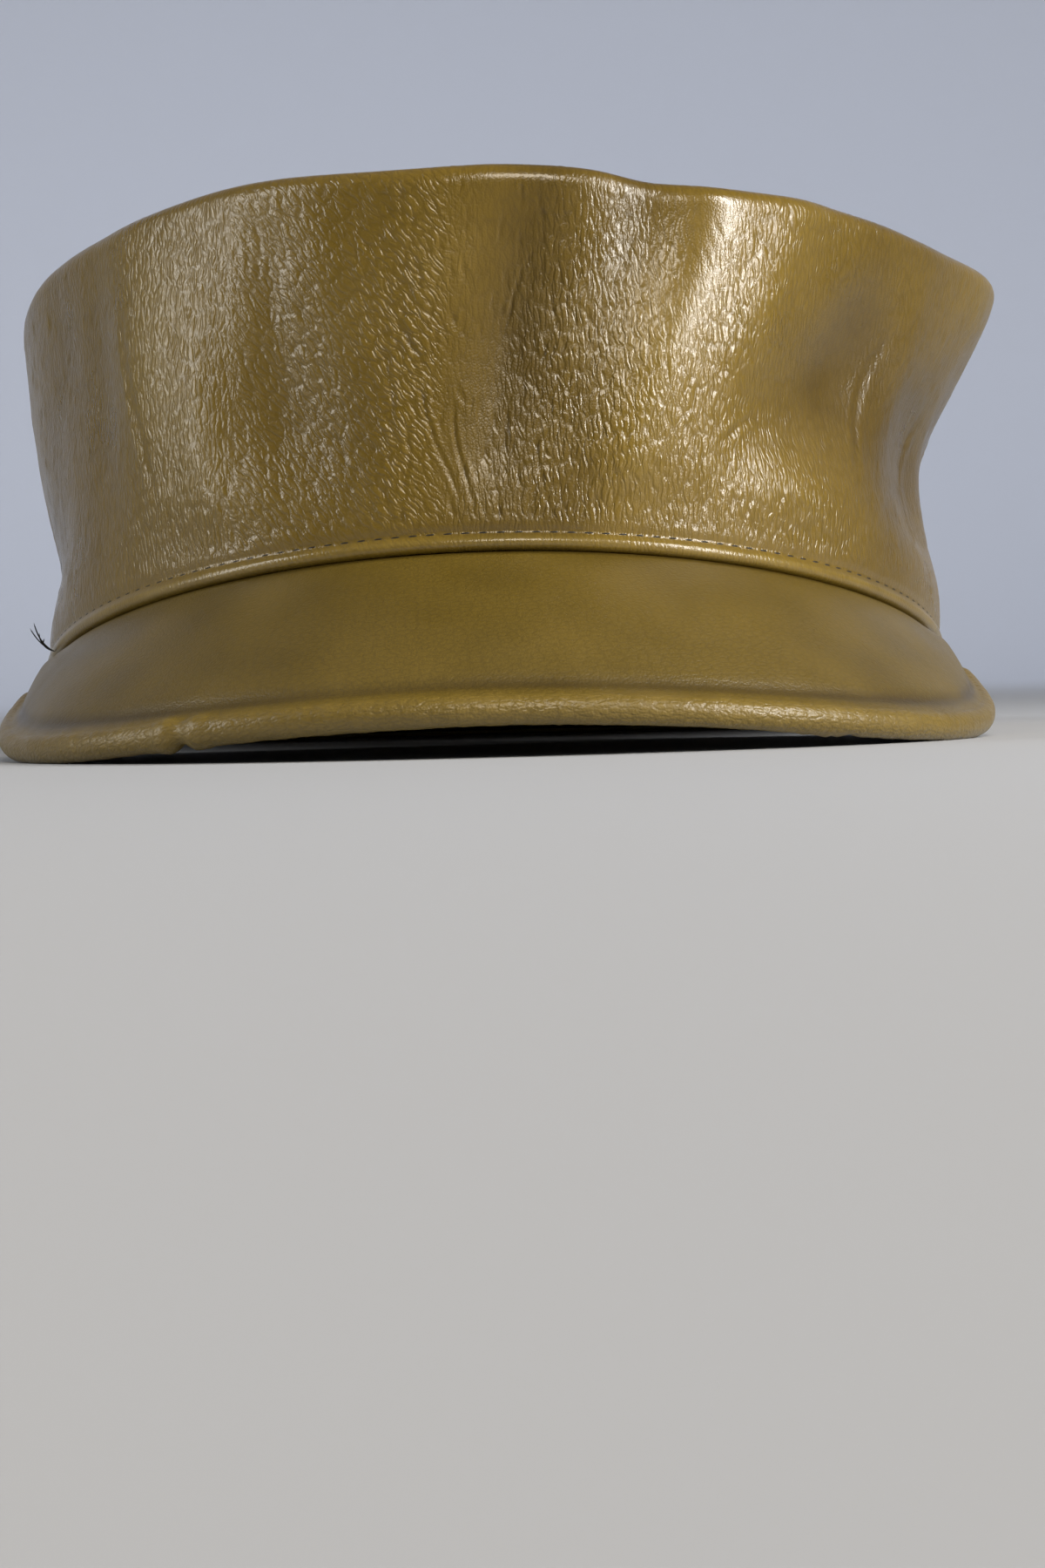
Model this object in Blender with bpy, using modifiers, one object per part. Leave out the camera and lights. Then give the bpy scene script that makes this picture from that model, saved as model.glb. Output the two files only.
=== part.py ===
"""A leather painter cap: a flared side wall, a flat top, a drooping peak with a rolled edge, and a sweatband.

Metres, +Z up. The peak points along -Y. The cap stands by itself on Z = 0: on the back of its rim, which
is pressed flat there, and on the roll of its peak. The origin is below the middle of its box.

The shape is worked out in the rim's own frame, where the rim lies in the plane Z = 0, and each point is then
set down on the surface. An angle of 0 degrees is the middle of the front, and 90 degrees is +X.
"""

import math

import bmesh
import bpy
from mathutils import Vector

# The rim, measured over the leather.
RIM_HALF_WIDTH = 0.0855
RIM_HALF_LENGTH = 0.1017
RIM_EGG = 0.08  # how much narrower the front is than the back

# The wall and the top.
CROWN_HEIGHT = 0.0686
SIDE_FLARE = 0.0092  # how far the top stands out past the rim, at the sides
END_FLARE = 0.0090  # the same at the front and the back
TOP_EGG = 0.15
TOP_SHIFT_SIDEWAYS = 0.0038
TOP_SHIFT_BACK = 0.0020
FLARE_POWER = 1.4  # over 1, so that the wall curves outwards like a trumpet
LEATHER = 0.0015
SHOULDER_RADIUS = 0.0036
SEAM_LIP = 0.0009  # the level strip on each side of the seam between wall and top
TOP_SAG = 0.0045
FOLD_DEPTH = 0.0062

# The folded hem, whose bead stands out below the row of stitches.
HEM_BAND = 0.0030
HEM_BULGE = 0.0007

# The peak: a board covered with leather, a roll along its edge, a flange sewn inside the rim and a facing.
PEAK_LENGTH = 0.0450
PEAK_TIP_LENGTH = 0.0135
PEAK_CURVE_POWER = 3.4  # how long the peak keeps its length before it turns in to its tips
PEAK_HALF_SPAN = 75.0  # degrees each side of the front
PEAK_DROOP = 45.2  # degrees below the rim's plane
PEAK_TIP_DROOP = 52.0
PEAK_FORWARD_TURN = 0.91  # under 1 turns the peak's ribs forwards
PEAK_BOARD = 0.0032
PEAK_BOW = 0.0012
ROLL_RADIUS = 0.0025
FLANGE_HEIGHT = 0.0080
FLANGE_THICKNESS = 0.0012
FLANGE_FADE = 0.8  # the share of the half span past which the flange runs out
ROLL_JOIN = 2.6  # how far the roll reaches in from the edge, in roll radii
FACING_THICKNESS = 0.0010

# The sweatband.
BAND_HEIGHT = 0.0300
BAND_THICKNESS = 0.0010
BAND_LIFT = 0.0012  # its lower edge stands above the hem's
BAND_CLEAR_TURN = 6.0  # degrees past the peak's tips before it bends out to the wall
BAND_BEND_TURN = 18.0  # degrees over which it bends

# How the pieces lie to each other and to the surface.
GAP = 0.0003
PRESS = 0.0008  # how far the leather gives where the back of the rim lies on the surface
ROLL_PRESS = 0.00015  # the same for the roll of the peak
SAG_START = 0.0025  # the part of the rim that would lie this near the surface lies on it
SAG_BLEND = 0.0020

# How finely the pieces are faceted.
AROUND = 80
HEM_ROWS = (0.0, 0.33, 0.67, 1.0, 1.5)  # shares of HEM_BAND
WALL_ROWS = (0.20, 0.33, 0.46, 0.59, 0.72, 0.86)  # shares of the wall's height below the shoulder
SHOULDER_TURNS = (0.0, 30.0, 60.0, 90.0)  # degrees from the wall to the top
TOP_RINGS = 6
TOP_RING_POWER = 1.3  # over 1 sets the rings closer towards the edge
PEAK_STATIONS = 44
ROLL_SIDES = 9
ROLL_TURN = 140.0  # degrees that the roll turns up and down from its outer edge
BOARD_ROWS = (0.10, 0.30, 0.53, 0.76, 0.93, 1.0)  # shares of the flat part of the peak
FACING_MARGIN = 2  # how many of the peak's stations the facing stops short of each tip
TILT_HALVINGS = 40

# The rounding of the peak's tips: how far past the last station each extra section lies, in roll radii,
# and its size as a share of a full section.
TIP_ROUNDING = (
    # past, size
    (0.45, 0.96),
    (0.80, 0.78),
    (1.00, 0.42),
)

# The wall's folds: the angle of each at the rim and at the top, the share of the height at its middle, how
# far it spreads up and down as a share of the height, its half width in degrees, and its depth as a share
# of FOLD_DEPTH. A ridge stands out, and a valley goes in.
FOLDS = (
    # rim, top, middle, spread, width, depth
    (20.0, 41.0, 0.60, 0.36, 5.5, 0.52),  # the sharp ridge on the right of the front
    (44.0, 54.0, 0.60, 0.22, 8.5, -0.72),  # the hollow behind it
    (39.0, 42.0, 0.20, 0.15, 9.0, 0.30),  # the bulge below the hollow
    (68.0, 71.0, 0.44, 0.22, 12.0, -0.80),  # the deep dent of the right side
    (93.0, 95.0, 0.50, 0.27, 18.0, -1.20),
    (84.0, 84.0, 0.93, 0.15, 10.0, 0.40),  # the corner above the dent
    (-2.0, 5.0, 0.62, 0.36, 7.0, -0.34),  # the shallow valley of the front
    (12.0, 17.0, 0.48, 0.34, 5.5, 0.16),
    (-21.0, -31.0, 0.36, 0.20, 7.0, -0.30),
    (-34.0, -34.0, 0.14, 0.12, 9.0, 0.20),
    (-43.0, -51.0, 0.60, 0.40, 8.0, 0.34),  # the soft ridge on the left of the front
    (-66.0, -70.0, 0.70, 0.26, 10.0, -0.22),
    (-88.0, -88.0, 0.26, 0.24, 18.0, -0.50),
    (-122.0, -116.0, 0.55, 0.30, 13.0, 0.24),
    (-150.0, -146.0, 0.42, 0.30, 12.0, -0.34),
    (126.0, 121.0, 0.58, 0.32, 12.0, 0.28),
    (153.0, 149.0, 0.44, 0.30, 12.0, -0.30),
)

# The waves of the top edge's height: how many round the edge, the angle of a crest, and the height as a
# share of CROWN_HEIGHT.
EDGE_WAVES = (
    # count, crest, height
    (1, 180.0, 0.037),
    (2, 120.0, 0.031),
    (9, 5.0, 0.007),
)

# The soft dents of the top: their middle and reach as shares of its half width and half length, and their
# depth as a share of TOP_SAG.
TOP_DENTS = (
    # sideways, back, reach, depth
    (0.42, -0.38, 0.34, 0.42),
    (-0.45, 0.10, 0.36, -0.30),
    (0.10, 0.52, 0.32, 0.34),
)

OLIVE = (0.153, 0.093, 0.022)
OLIVE_PEAK = (0.165, 0.108, 0.030)
OLIVE_DARK = (0.098, 0.060, 0.018)
BLACK = (0.010, 0.009, 0.009)


def smooth(share):
    """0 below 0, 1 above 1, and a smooth step between."""
    held = min(1.0, max(0.0, share))
    return held * held * (3.0 - 2.0 * held)


def bell(distance, width):
    return math.exp(-((distance / width) ** 2))


def oval(angle, half_width, half_length, egg):
    """A point of an oval whose front, at angle 0, is narrower than its back."""
    across = half_width * math.sin(angle) * (1.0 - egg * math.cos(angle))
    return Vector((across, -half_length * math.cos(angle), 0.0))


def rim_point(angle):
    return oval(angle, RIM_HALF_WIDTH, RIM_HALF_LENGTH, RIM_EGG)


def outward(angle):
    """The level direction that points out of the rim."""
    step = 0.01
    tangent = rim_point(angle + step) - rim_point(angle - step)
    return Vector((tangent.y, -tangent.x, 0.0)).normalized()


def edge_height(angle):
    height = CROWN_HEIGHT
    for count, crest, share in EDGE_WAVES:
        height += CROWN_HEIGHT * share * math.cos(count * (angle - math.radians(crest)))
    return height


def fold_offset(angle, share):
    """How far the folds move the wall outwards at an angle and a share of its height."""
    total = 0.0
    for at_rim, at_top, middle, spread, width, depth in FOLDS:
        centre = at_rim + (at_top - at_rim) * share
        turn = (math.degrees(angle) - centre + 180.0) % 360.0 - 180.0
        total += depth * bell(turn, width) * bell(share - middle, spread)
    held_by_hem = smooth(share * CROWN_HEIGHT / FLANGE_HEIGHT - 1.0)
    return FOLD_DEPTH * total * held_by_hem


def hem_offset(height):
    """The bead of the folded hem, and the crease that its stitches pull in above it."""
    bead = HEM_BULGE * math.sin(math.pi * min(1.0, max(0.0, height / HEM_BAND)))
    return bead - 0.5 * HEM_BULGE * bell(height - HEM_BAND, 0.3 * HEM_BAND)


def wall_point(angle, height, inset=0.0):
    """A point of the wall's outer face at a height above the rim, moved inwards by inset."""
    full = edge_height(angle)
    share = min(1.0, max(0.0, height / full))
    low = rim_point(angle)
    high = oval(angle, RIM_HALF_WIDTH + SIDE_FLARE, RIM_HALF_LENGTH + END_FLARE, TOP_EGG)
    high += Vector((TOP_SHIFT_SIDEWAYS, TOP_SHIFT_BACK, 0.0))
    point = low.lerp(high, share**FLARE_POWER)
    point += outward(angle) * (fold_offset(angle, share) + hem_offset(height) - inset)
    point.z = height
    return point


def shoulder_point(angle, turn, past=0.0):
    """A point of the rounded edge between wall and top: turn runs from 0 at the wall to 90 at the top."""
    lift = SHOULDER_RADIUS * (math.sin(math.radians(turn)) - 1.0)
    inset = SHOULDER_RADIUS * (1.0 - math.cos(math.radians(turn))) + past
    return wall_point(angle, edge_height(angle) + lift, inset)


def station_angle(n):
    return math.radians(PEAK_HALF_SPAN) * (2.0 * n / PEAK_STATIONS - 1.0)


def peak_share(angle):
    return min(1.0, abs(math.degrees(angle)) / PEAK_HALF_SPAN)


def peak_length(angle):
    return PEAK_LENGTH - (PEAK_LENGTH - PEAK_TIP_LENGTH) * peak_share(angle) ** PEAK_CURVE_POWER


def peak_droop(angle):
    return math.radians(PEAK_DROOP + (PEAK_TIP_DROOP - PEAK_DROOP) * peak_share(angle) ** 2)


def peak_direction(angle):
    """The level direction in which the peak runs out from the rim."""
    way = outward(angle)
    return Vector((way.x * PEAK_FORWARD_TURN, way.y, 0.0)).normalized()


def peak_frame(angle):
    """Where the peak starts under the rim at an angle, the way it runs, and the way its top faces."""
    droop = peak_droop(angle)
    level = peak_direction(angle)
    up = Vector((0.0, 0.0, 1.0))
    root = rim_point(angle) - up * GAP
    along = level * math.cos(droop) - up * math.sin(droop)
    above = level * math.sin(droop) + up * math.cos(droop)
    return root, along, above


def roll_centre(angle):
    root, along, above = peak_frame(angle)
    return root + along * (peak_length(angle) - ROLL_RADIUS) - above * (0.5 * PEAK_BOARD)


def rim_sag(angle, tilt):
    """How far the soft rim sinks from its plane, so that its back lies on the surface."""
    rise = RIM_HALF_LENGTH * (1.0 + math.cos(angle)) * math.sin(tilt)
    front_rise = 2.0 * RIM_HALF_LENGTH * math.sin(tilt)
    bent = max(0.0, rise - SAG_START) ** 2 / (max(0.0, rise - SAG_START) + SAG_BLEND)
    front_bent = (front_rise - SAG_START) ** 2 / (front_rise - SAG_START + SAG_BLEND)
    return rise - ((front_rise + PRESS) * bent / front_bent - PRESS)


def set_down_at(point, angle, sag_share, tilt):
    """Turns a point from the rim's frame to the resting cap, and lets it sink with the rim."""
    run = point.y - RIM_HALF_LENGTH
    y = RIM_HALF_LENGTH + run * math.cos(tilt) + point.z * math.sin(tilt)
    z = point.z * math.cos(tilt) - run * math.sin(tilt)
    return Vector((point.x, y, z - rim_sag(angle, tilt) * sag_share))


def resting_tilt():
    """The angle between rim and surface at which the roll of the peak touches the surface."""
    low, high = math.radians(2.0), math.radians(30.0)
    for _ in range(TILT_HALVINGS):
        tilt = 0.5 * (low + high)
        lowest = CROWN_HEIGHT
        for n in range(PEAK_STATIONS + 1):
            angle = station_angle(n)
            lowest = min(lowest, set_down_at(roll_centre(angle), angle, 1.0, tilt).z - ROLL_RADIUS)
        if lowest < -ROLL_PRESS:
            low = tilt
        else:
            high = tilt
    return 0.5 * (low + high)


TILT = resting_tilt()


def set_down(point, angle, sag_share):
    return set_down_at(point, angle, sag_share, TILT)


def sag_share_at(height):
    return (1.0 - min(1.0, max(0.0, height / CROWN_HEIGHT))) ** 2


def leather(name, colour, roughness):
    material = bpy.data.materials.new(name)
    material.use_nodes = True
    shader = material.node_tree.nodes["Principled BSDF"]
    shader.inputs["Base Color"].default_value = (*colour, 1.0)
    shader.inputs["Roughness"].default_value = roughness
    shader.inputs["Metallic"].default_value = 0.0
    return material


def tube_object(name, around, along, place, capped, material, collection):
    """A tube primitive cut into around by along faces, with each vertex put where place(i, j) says."""
    shape = bmesh.new()
    bmesh.ops.create_cone(
        shape, cap_ends=capped, segments=around, radius1=1.0, radius2=1.0, depth=1.0
    )
    upright = [e for e in shape.edges if abs(e.verts[0].co.z - e.verts[1].co.z) > 0.5]
    bmesh.ops.subdivide_edges(shape, edges=upright, cuts=along - 1, use_grid_fill=True)
    for vertex in shape.verts:
        i = round(math.atan2(vertex.co.y, vertex.co.x) / math.tau * around) % around
        j = round((vertex.co.z + 0.5) * along)
        vertex.co = place(i, j)
    bmesh.ops.remove_doubles(shape, verts=shape.verts[:], dist=0.000001)
    if capped:
        bmesh.ops.recalc_face_normals(shape, faces=shape.faces[:])
    mesh = bpy.data.meshes.new(name)
    shape.to_mesh(mesh)
    shape.free()
    mesh.materials.append(material)
    mesh.shade_smooth()
    mesh.set_sharp_from_angle(angle=math.radians(50.0))
    made = bpy.data.objects.new(name, mesh)
    collection.objects.link(made)
    return made


def thicken(made, thickness):
    """Gives a sheet its thickness, on the side away from its normals."""
    wall = made.modifiers.new("thickness", "SOLIDIFY")
    wall.thickness = thickness
    wall.offset = -1.0
    wall.use_even_offset = True


def trim(made, cutter):
    """Presses a piece flat where it would reach below the surface."""
    cut = made.modifiers.new("pressed_flat", "BOOLEAN")
    cut.operation = "DIFFERENCE"
    cut.object = cutter


def angle_of(i):
    return math.tau * i / AROUND


def make_crown_side(collection, material):
    first_turn = len(HEM_ROWS) + len(WALL_ROWS)
    last_row = first_turn + len(SHOULDER_TURNS)

    def place(i, j):
        angle = angle_of(i)
        if j == last_row:
            return set_down(shoulder_point(angle, SHOULDER_TURNS[-1], SEAM_LIP), angle, 0.0)
        if j >= first_turn:
            return set_down(shoulder_point(angle, SHOULDER_TURNS[j - first_turn]), angle, 0.0)
        if j < len(HEM_ROWS):
            height = HEM_ROWS[j] * HEM_BAND
        else:
            height = WALL_ROWS[j - len(HEM_ROWS)] * (edge_height(angle) - SHOULDER_RADIUS)
        return set_down(wall_point(angle, height), angle, sag_share_at(height))

    made = tube_object("crown_side", AROUND, last_row, place, False, material, collection)
    thicken(made, LEATHER)
    return made


def top_dents(x_share, y_share):
    total = 0.0
    for sideways, back, reach, depth in TOP_DENTS:
        total += depth * bell(math.hypot(x_share - sideways, y_share - back), reach)
    return TOP_SAG * total


def make_crown_top(collection, material):
    centre = Vector((TOP_SHIFT_SIDEWAYS, TOP_SHIFT_BACK, CROWN_HEIGHT))

    def place(i, j):
        angle = angle_of(i)
        if j == 0:
            return set_down(shoulder_point(angle, SHOULDER_TURNS[-1], SEAM_LIP + GAP), angle, 0.0)
        edge = shoulder_point(angle, SHOULDER_TURNS[-1], 2.0 * SEAM_LIP + GAP)
        inwards = ((j - 1) / (TOP_RINGS - 1)) ** TOP_RING_POWER
        point = edge.lerp(centre, inwards)
        share = 1.0 - inwards
        hollow = smooth(inwards / 0.5)
        x_share = share * math.sin(angle)
        y_share = -share * math.cos(angle)
        point.z -= hollow * (TOP_SAG + top_dents(x_share, y_share))
        return set_down(point, angle, 0.0)

    made = tube_object("crown_top", AROUND, TOP_RINGS, place, False, material, collection)
    thicken(made, LEATHER)
    return made


def peak_bow(share):
    """How high the peak's middle is bowed, from 0 at the rim to 1 at the roll."""
    return PEAK_BOW * math.sin(math.pi * share)


def peak_section(angle):
    """The peak's outline at one angle, from its flange's outer top round the roll to the flange's inner top."""
    root, along, above = peak_frame(angle)
    up = Vector((0.0, 0.0, 1.0))
    length = peak_length(angle)
    droop = peak_droop(angle)
    flat = length - ROLL_JOIN * ROLL_RADIUS
    near = LEATHER + HEM_BULGE + GAP
    far = near + FLANGE_THICKNESS
    fade = smooth((peak_share(angle) - FLANGE_FADE) / (1.0 - FLANGE_FADE))
    flange = FLANGE_HEIGHT * (1.0 - fade) - GAP * fade
    corner = min(-GAP, (far * math.sin(droop) - PEAK_BOARD) / math.cos(droop))

    def on_slope(run, height):
        return root + along * run + above * height

    held = hem_offset(flange)
    section = [wall_point(angle, flange, near + held)]
    section.append(root - outward(angle) * near * (1.0 - 0.4 * fade))
    section.append(on_slope(0.0, 0.0))
    section += [on_slope(share * flat, peak_bow(share)) for share in BOARD_ROWS]
    for side in range(ROLL_SIDES):
        turn = math.radians(ROLL_TURN) * (1.0 - 2.0 * side / (ROLL_SIDES - 1))
        run = length - ROLL_RADIUS + ROLL_RADIUS * math.cos(turn)
        section.append(on_slope(run, ROLL_RADIUS * math.sin(turn) - 0.5 * PEAK_BOARD))
    for share in reversed(BOARD_ROWS):
        section.append(on_slope(share * flat, peak_bow(share) - PEAK_BOARD))
    section.append(root - outward(angle) * far + up * corner)
    section.append(wall_point(angle, flange, far + held))
    return section


def peak_stations():
    """The angles of the peak's sections, with a size for each: the last few shrink to round off the tips."""
    stations = [(station_angle(n), 1.0) for n in range(PEAK_STATIONS + 1)]
    for past, size in TIP_ROUNDING:
        angle = station_angle(PEAK_STATIONS) + past * ROLL_RADIUS / RIM_HALF_LENGTH
        stations.insert(0, (-angle, size))
        stations.append((angle, size))
    return stations


def make_peak(collection, material):
    stations = peak_stations()
    around = len(peak_section(0.0))

    def place(i, j):
        angle, size = stations[j]
        section = peak_section(angle)
        middle = sum(section, Vector()) / around
        point = middle.lerp(section[i], size)
        return set_down(point, angle, 1.0)

    return tube_object("peak", around, len(stations) - 1, place, True, material, collection)


def make_peak_facing(collection, material):
    """The sheet of leather under the peak. It stops short of the roll, the flange and the tips."""
    shares = BOARD_ROWS[:-1]
    rows = len(shares)

    def place(i, j):
        angle = station_angle(j + FACING_MARGIN)
        root, along, above = peak_frame(angle)
        flat = peak_length(angle) - ROLL_JOIN * ROLL_RADIUS
        lower = i >= rows
        share = shares[2 * rows - 1 - i] if lower else shares[i]
        height = peak_bow(share) - PEAK_BOARD - GAP
        height -= FACING_THICKNESS if lower else 0.0
        return set_down(root + along * share * flat + above * height, angle, 1.0)

    stations = PEAK_STATIONS - 2 * FACING_MARGIN
    return tube_object("peak_facing", 2 * rows, stations, place, True, material, collection)


def band_inset(angle):
    """How far the sweatband lies inside the wall's outer face: further where the peak's flange is between."""
    turn = abs((math.degrees(angle) + 180.0) % 360.0 - 180.0)
    past_tip = turn - PEAK_HALF_SPAN - BAND_CLEAR_TURN
    flange_here = 1.0 - smooth(past_tip / BAND_BEND_TURN)
    return LEATHER + HEM_BULGE + GAP + (FLANGE_THICKNESS + GAP) * flange_here


def make_sweatband(collection, material):
    held = FLANGE_HEIGHT + GAP
    heights = (BAND_LIFT, held, 0.5 * (held + BAND_HEIGHT), BAND_HEIGHT)

    def place(i, j):
        angle = angle_of(i)
        height = heights[j]
        point = wall_point(angle, height, band_inset(angle) + hem_offset(height))
        return set_down(point, angle, sag_share_at(height))

    made = tube_object("sweatband", AROUND, len(heights) - 1, place, False, material, collection)
    thicken(made, BAND_THICKNESS)
    return made


def make_surface_cutter(collection):
    """A block whose top is the surface that the cap stands on."""
    size = 8.0 * RIM_HALF_LENGTH
    bpy.ops.mesh.primitive_cube_add(size=size, location=(0.0, 0.0, -0.5 * size))
    block = bpy.context.object
    block.name = "surface_cutter"
    for holder in list(block.users_collection):
        holder.objects.unlink(block)
    collection.objects.link(block)
    block.hide_render = True
    block.display_type = "WIRE"
    return block


def stand_on_origin(pieces, cutter, collection):
    """Parents everything to an empty that brings the middle of the pieces' box to the origin."""
    graph = bpy.context.evaluated_depsgraph_get()
    graph.update()
    corners = []
    for piece in pieces:
        shown = piece.evaluated_get(graph).to_mesh()
        corners += [vertex.co.copy() for vertex in shown.vertices]
    middle_x = 0.5 * (min(c.x for c in corners) + max(c.x for c in corners))
    middle_y = 0.5 * (min(c.y for c in corners) + max(c.y for c in corners))
    origin = bpy.data.objects.new("cap_origin", None)
    collection.objects.link(origin)
    origin.location = (-middle_x, -middle_y, 0.0)
    for piece in pieces + [cutter]:
        piece.parent = origin


def build():
    for old in list(bpy.data.objects):
        bpy.data.objects.remove(old)
    cap = bpy.data.collections.new("painter_cap")
    cutters = bpy.data.collections.new("cutters")
    bpy.context.scene.collection.children.link(cap)
    bpy.context.scene.collection.children.link(cutters)

    crown_side = make_crown_side(cap, leather("side_leather", OLIVE, 0.38))
    crown_top = make_crown_top(cap, leather("top_leather", OLIVE, 0.40))
    peak = make_peak(cap, leather("peak_leather", OLIVE_PEAK, 0.42))
    facing = make_peak_facing(cap, leather("facing_leather", OLIVE_DARK, 0.55))
    sweatband = make_sweatband(cap, leather("band_leather", BLACK, 0.70))
    surface = make_surface_cutter(cutters)
    trim(crown_side, surface)
    trim(peak, surface)
    pieces = [crown_side, crown_top, peak, facing, sweatband]
    stand_on_origin(pieces, surface, cap)


build()
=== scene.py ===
import math

import bmesh
import bpy
import numpy as np
from mathutils import Matrix, Vector


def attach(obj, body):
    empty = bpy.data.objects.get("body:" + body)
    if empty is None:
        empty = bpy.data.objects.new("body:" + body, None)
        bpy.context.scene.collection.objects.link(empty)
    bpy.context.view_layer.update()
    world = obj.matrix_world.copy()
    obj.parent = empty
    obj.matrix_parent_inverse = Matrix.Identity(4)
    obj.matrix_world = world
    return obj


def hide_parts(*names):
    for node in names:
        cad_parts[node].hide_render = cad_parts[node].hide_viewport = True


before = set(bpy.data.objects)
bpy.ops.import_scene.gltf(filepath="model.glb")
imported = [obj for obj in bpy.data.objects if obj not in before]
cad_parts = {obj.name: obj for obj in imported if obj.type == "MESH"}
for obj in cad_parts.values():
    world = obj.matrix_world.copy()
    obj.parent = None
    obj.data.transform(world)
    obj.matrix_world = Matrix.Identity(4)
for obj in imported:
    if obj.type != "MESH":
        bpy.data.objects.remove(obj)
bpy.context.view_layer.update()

mm = 0.001
up = np.array([0.0, 0.0, 1.0])

# The cap's own form, in millimetres and degrees: the same sizes as the solids have. The resting tilt and
# the two moves are copied from what the solids came to.
capForm = {
    "rimHalfWidth": 85.5, "rimHalfLength": 101.7, "rimEgg": 0.08, "rimRound": 589.0,
    "crownHeight": 68.6, "sideFlare": 9.2, "endFlare": 9.0, "topEgg": 0.15,
    "topShiftSideways": 3.8, "topShiftBack": 2.0, "flarePower": 1.4,
    "leather": 1.5, "shoulder": 3.6, "foldDepth": 6.2, "foldStart": 4.0, "foldBlend": 14.0,
    "hemBand": 3.0, "hemBulge": 0.7, "flangeHeight": 8.0,
    "restTilt": 9.602880879478, "moveSideways": -3.6643, "moveBack": 6.0067,
    "press": 0.8, "sagStart": 2.5, "sagBlend": 2.0,
}

# Folds of the wall: angle at the rim, angle at the top, height share, spread, half width in degrees,
# depth share.
wallFolds = [
    (20, 41, 0.60, 0.36, 5.5, 0.52), (44, 54, 0.60, 0.22, 8.5, -0.72), (39, 42, 0.20, 0.15, 9, 0.30),
    (68, 71, 0.44, 0.22, 12, -0.80), (93, 95, 0.50, 0.27, 18, -1.20), (84, 84, 0.93, 0.15, 10, 0.40),
    (-2, 5, 0.62, 0.36, 7, -0.34), (12, 17, 0.48, 0.34, 5.5, 0.16), (-21, -31, 0.36, 0.20, 7, -0.30),
    (-34, -34, 0.14, 0.12, 9, 0.20), (-43, -51, 0.60, 0.40, 8, 0.34), (-66, -70, 0.70, 0.26, 10, -0.22),
    (-88, -88, 0.26, 0.24, 18, -0.50), (-122, -116, 0.55, 0.30, 13, 0.24),
    (-150, -146, 0.42, 0.30, 12, -0.34), (126, 121, 0.58, 0.32, 12, 0.28), (153, 149, 0.44, 0.30, 12, -0.30),
]

# Finer folds that the solids leave out. The first four turn the flank of the ridge to the strip light.
# They weren't chosen by hand: a search worked them out, and they were then rounded.
finerFolds = [
    (17, 45, 0.75, 0.36, 6, -0.35), (14.5, 25.5, 0.46, 0.40, 5.5, 0.38), (33, 51, 0.43, 0.20, 12.5, -0.42),
    (12, 19, 0.92, 0.48, 6, -0.52), (-1, 3, 0.50, 0.40, 2.6, -0.07), (-14, -22, 0.55, 0.30, 4.0, 0.08),
    (-26, -30, 0.60, 0.26, 3.0, -0.09), (-36, -42, 0.42, 0.30, 3.5, 0.12), (-57, -58, 0.60, 0.32, 4.0, -0.12),
    (60, 62, 0.66, 0.22, 4.0, 0.14), (76, 74, 0.38, 0.20, 4.5, -0.16), (-104, -99, 0.60, 0.30, 6.0, 0.12),
    (109, 103, 0.50, 0.26, 6.0, -0.14), (-137, -131, 0.60, 0.26, 5.0, -0.12),
    (139, 134, 0.58, 0.26, 5.0, 0.10), (-165, -160, 0.50, 0.28, 5.0, 0.12), (167, 171, 0.50, 0.28, 5, -0.08),
]

# Waves round the top edge: how many, the angle of a crest, height share.
edgeWaves = [(1, 180, 0.037), (2, 120, 0.031), (9, 5, 0.007)]


# An S-shaped step: 3 t^2 - 2 t^3 of t held between 0 and 1.
def ease(t):
    held = np.clip(t, 0.0, 1.0)
    return held * held * (3.0 - 2.0 * held)


# A soft bump: e to the power of minus the squared distance over the squared width.
def bell(distance, width):
    return np.exp(-((distance / width) ** 2))


# An angle wrapped to between -180 and 180 degrees.
def wrapped(degrees):
    return (degrees + 180.0) % 360.0 - 180.0


# Millimetres round the rim from its front: the angle's share of a whole turn times the rim's length.
def roundRim(degrees):
    return degrees / 360.0 * capForm["rimRound"]


noiseCorners = {}  # one table of random numbers for each seed


# Smooth noise from 0 to 1: random numbers on the corners of a grid, eased between them. The grid repeats
# after repeatU cells. A whole number added to u or v picks another part of the table.
def gridNoise(u, v, seed, repeatU=4096):
    if seed not in noiseCorners:
        noiseCorners[seed] = np.random.default_rng(seed).random((1024, 256))
    corner = noiseCorners[seed]
    iu, iv = np.floor(u).astype(int), np.floor(v).astype(int)
    fu, fv = ease(u - iu), ease(v - iv)
    left, right = (iu % repeatU) % 1024, ((iu + 1) % repeatU) % 1024
    low, high = iv % 256, (iv + 1) % 256
    bottom = corner[left, low] * (1 - fu) + corner[right, low] * fu
    top = corner[left, high] * (1 - fu) + corner[right, high] * fu
    return bottom * (1 - fv) + top * fv


# The same noise laid round the cap, so that it closes after a whole turn of that many cells.
def ringNoise(degrees, cells, v, seed, start=0):
    return gridNoise(degrees / 360.0 * cells + 2 * cells + start, v, seed, cells)


# Noise folded at its middle value, where it makes a ridge of height 1: 1 minus the size of 2 n - 1.
def ridgeNoise(u, v, seed, repeatU=4096):
    return 1.0 - np.abs(2.0 * gridNoise(u, v, seed, repeatU) - 1.0)


# A sum of soft bumps along slanting lines. A line has its angle at the rim and at the top, the middle and
# the spread of its height share, its half width in degrees and its amount.
def bumpSum(lines, degrees, share):
    total = np.zeros(np.broadcast(degrees, share).shape)
    for atRim, atTop, middle, spread, width, amount in lines:
        away = wrapped(degrees - (atRim + (atTop - atRim) * share))
        total += amount * bell(away, width) * bell(share - middle, spread)
    return total


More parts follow.
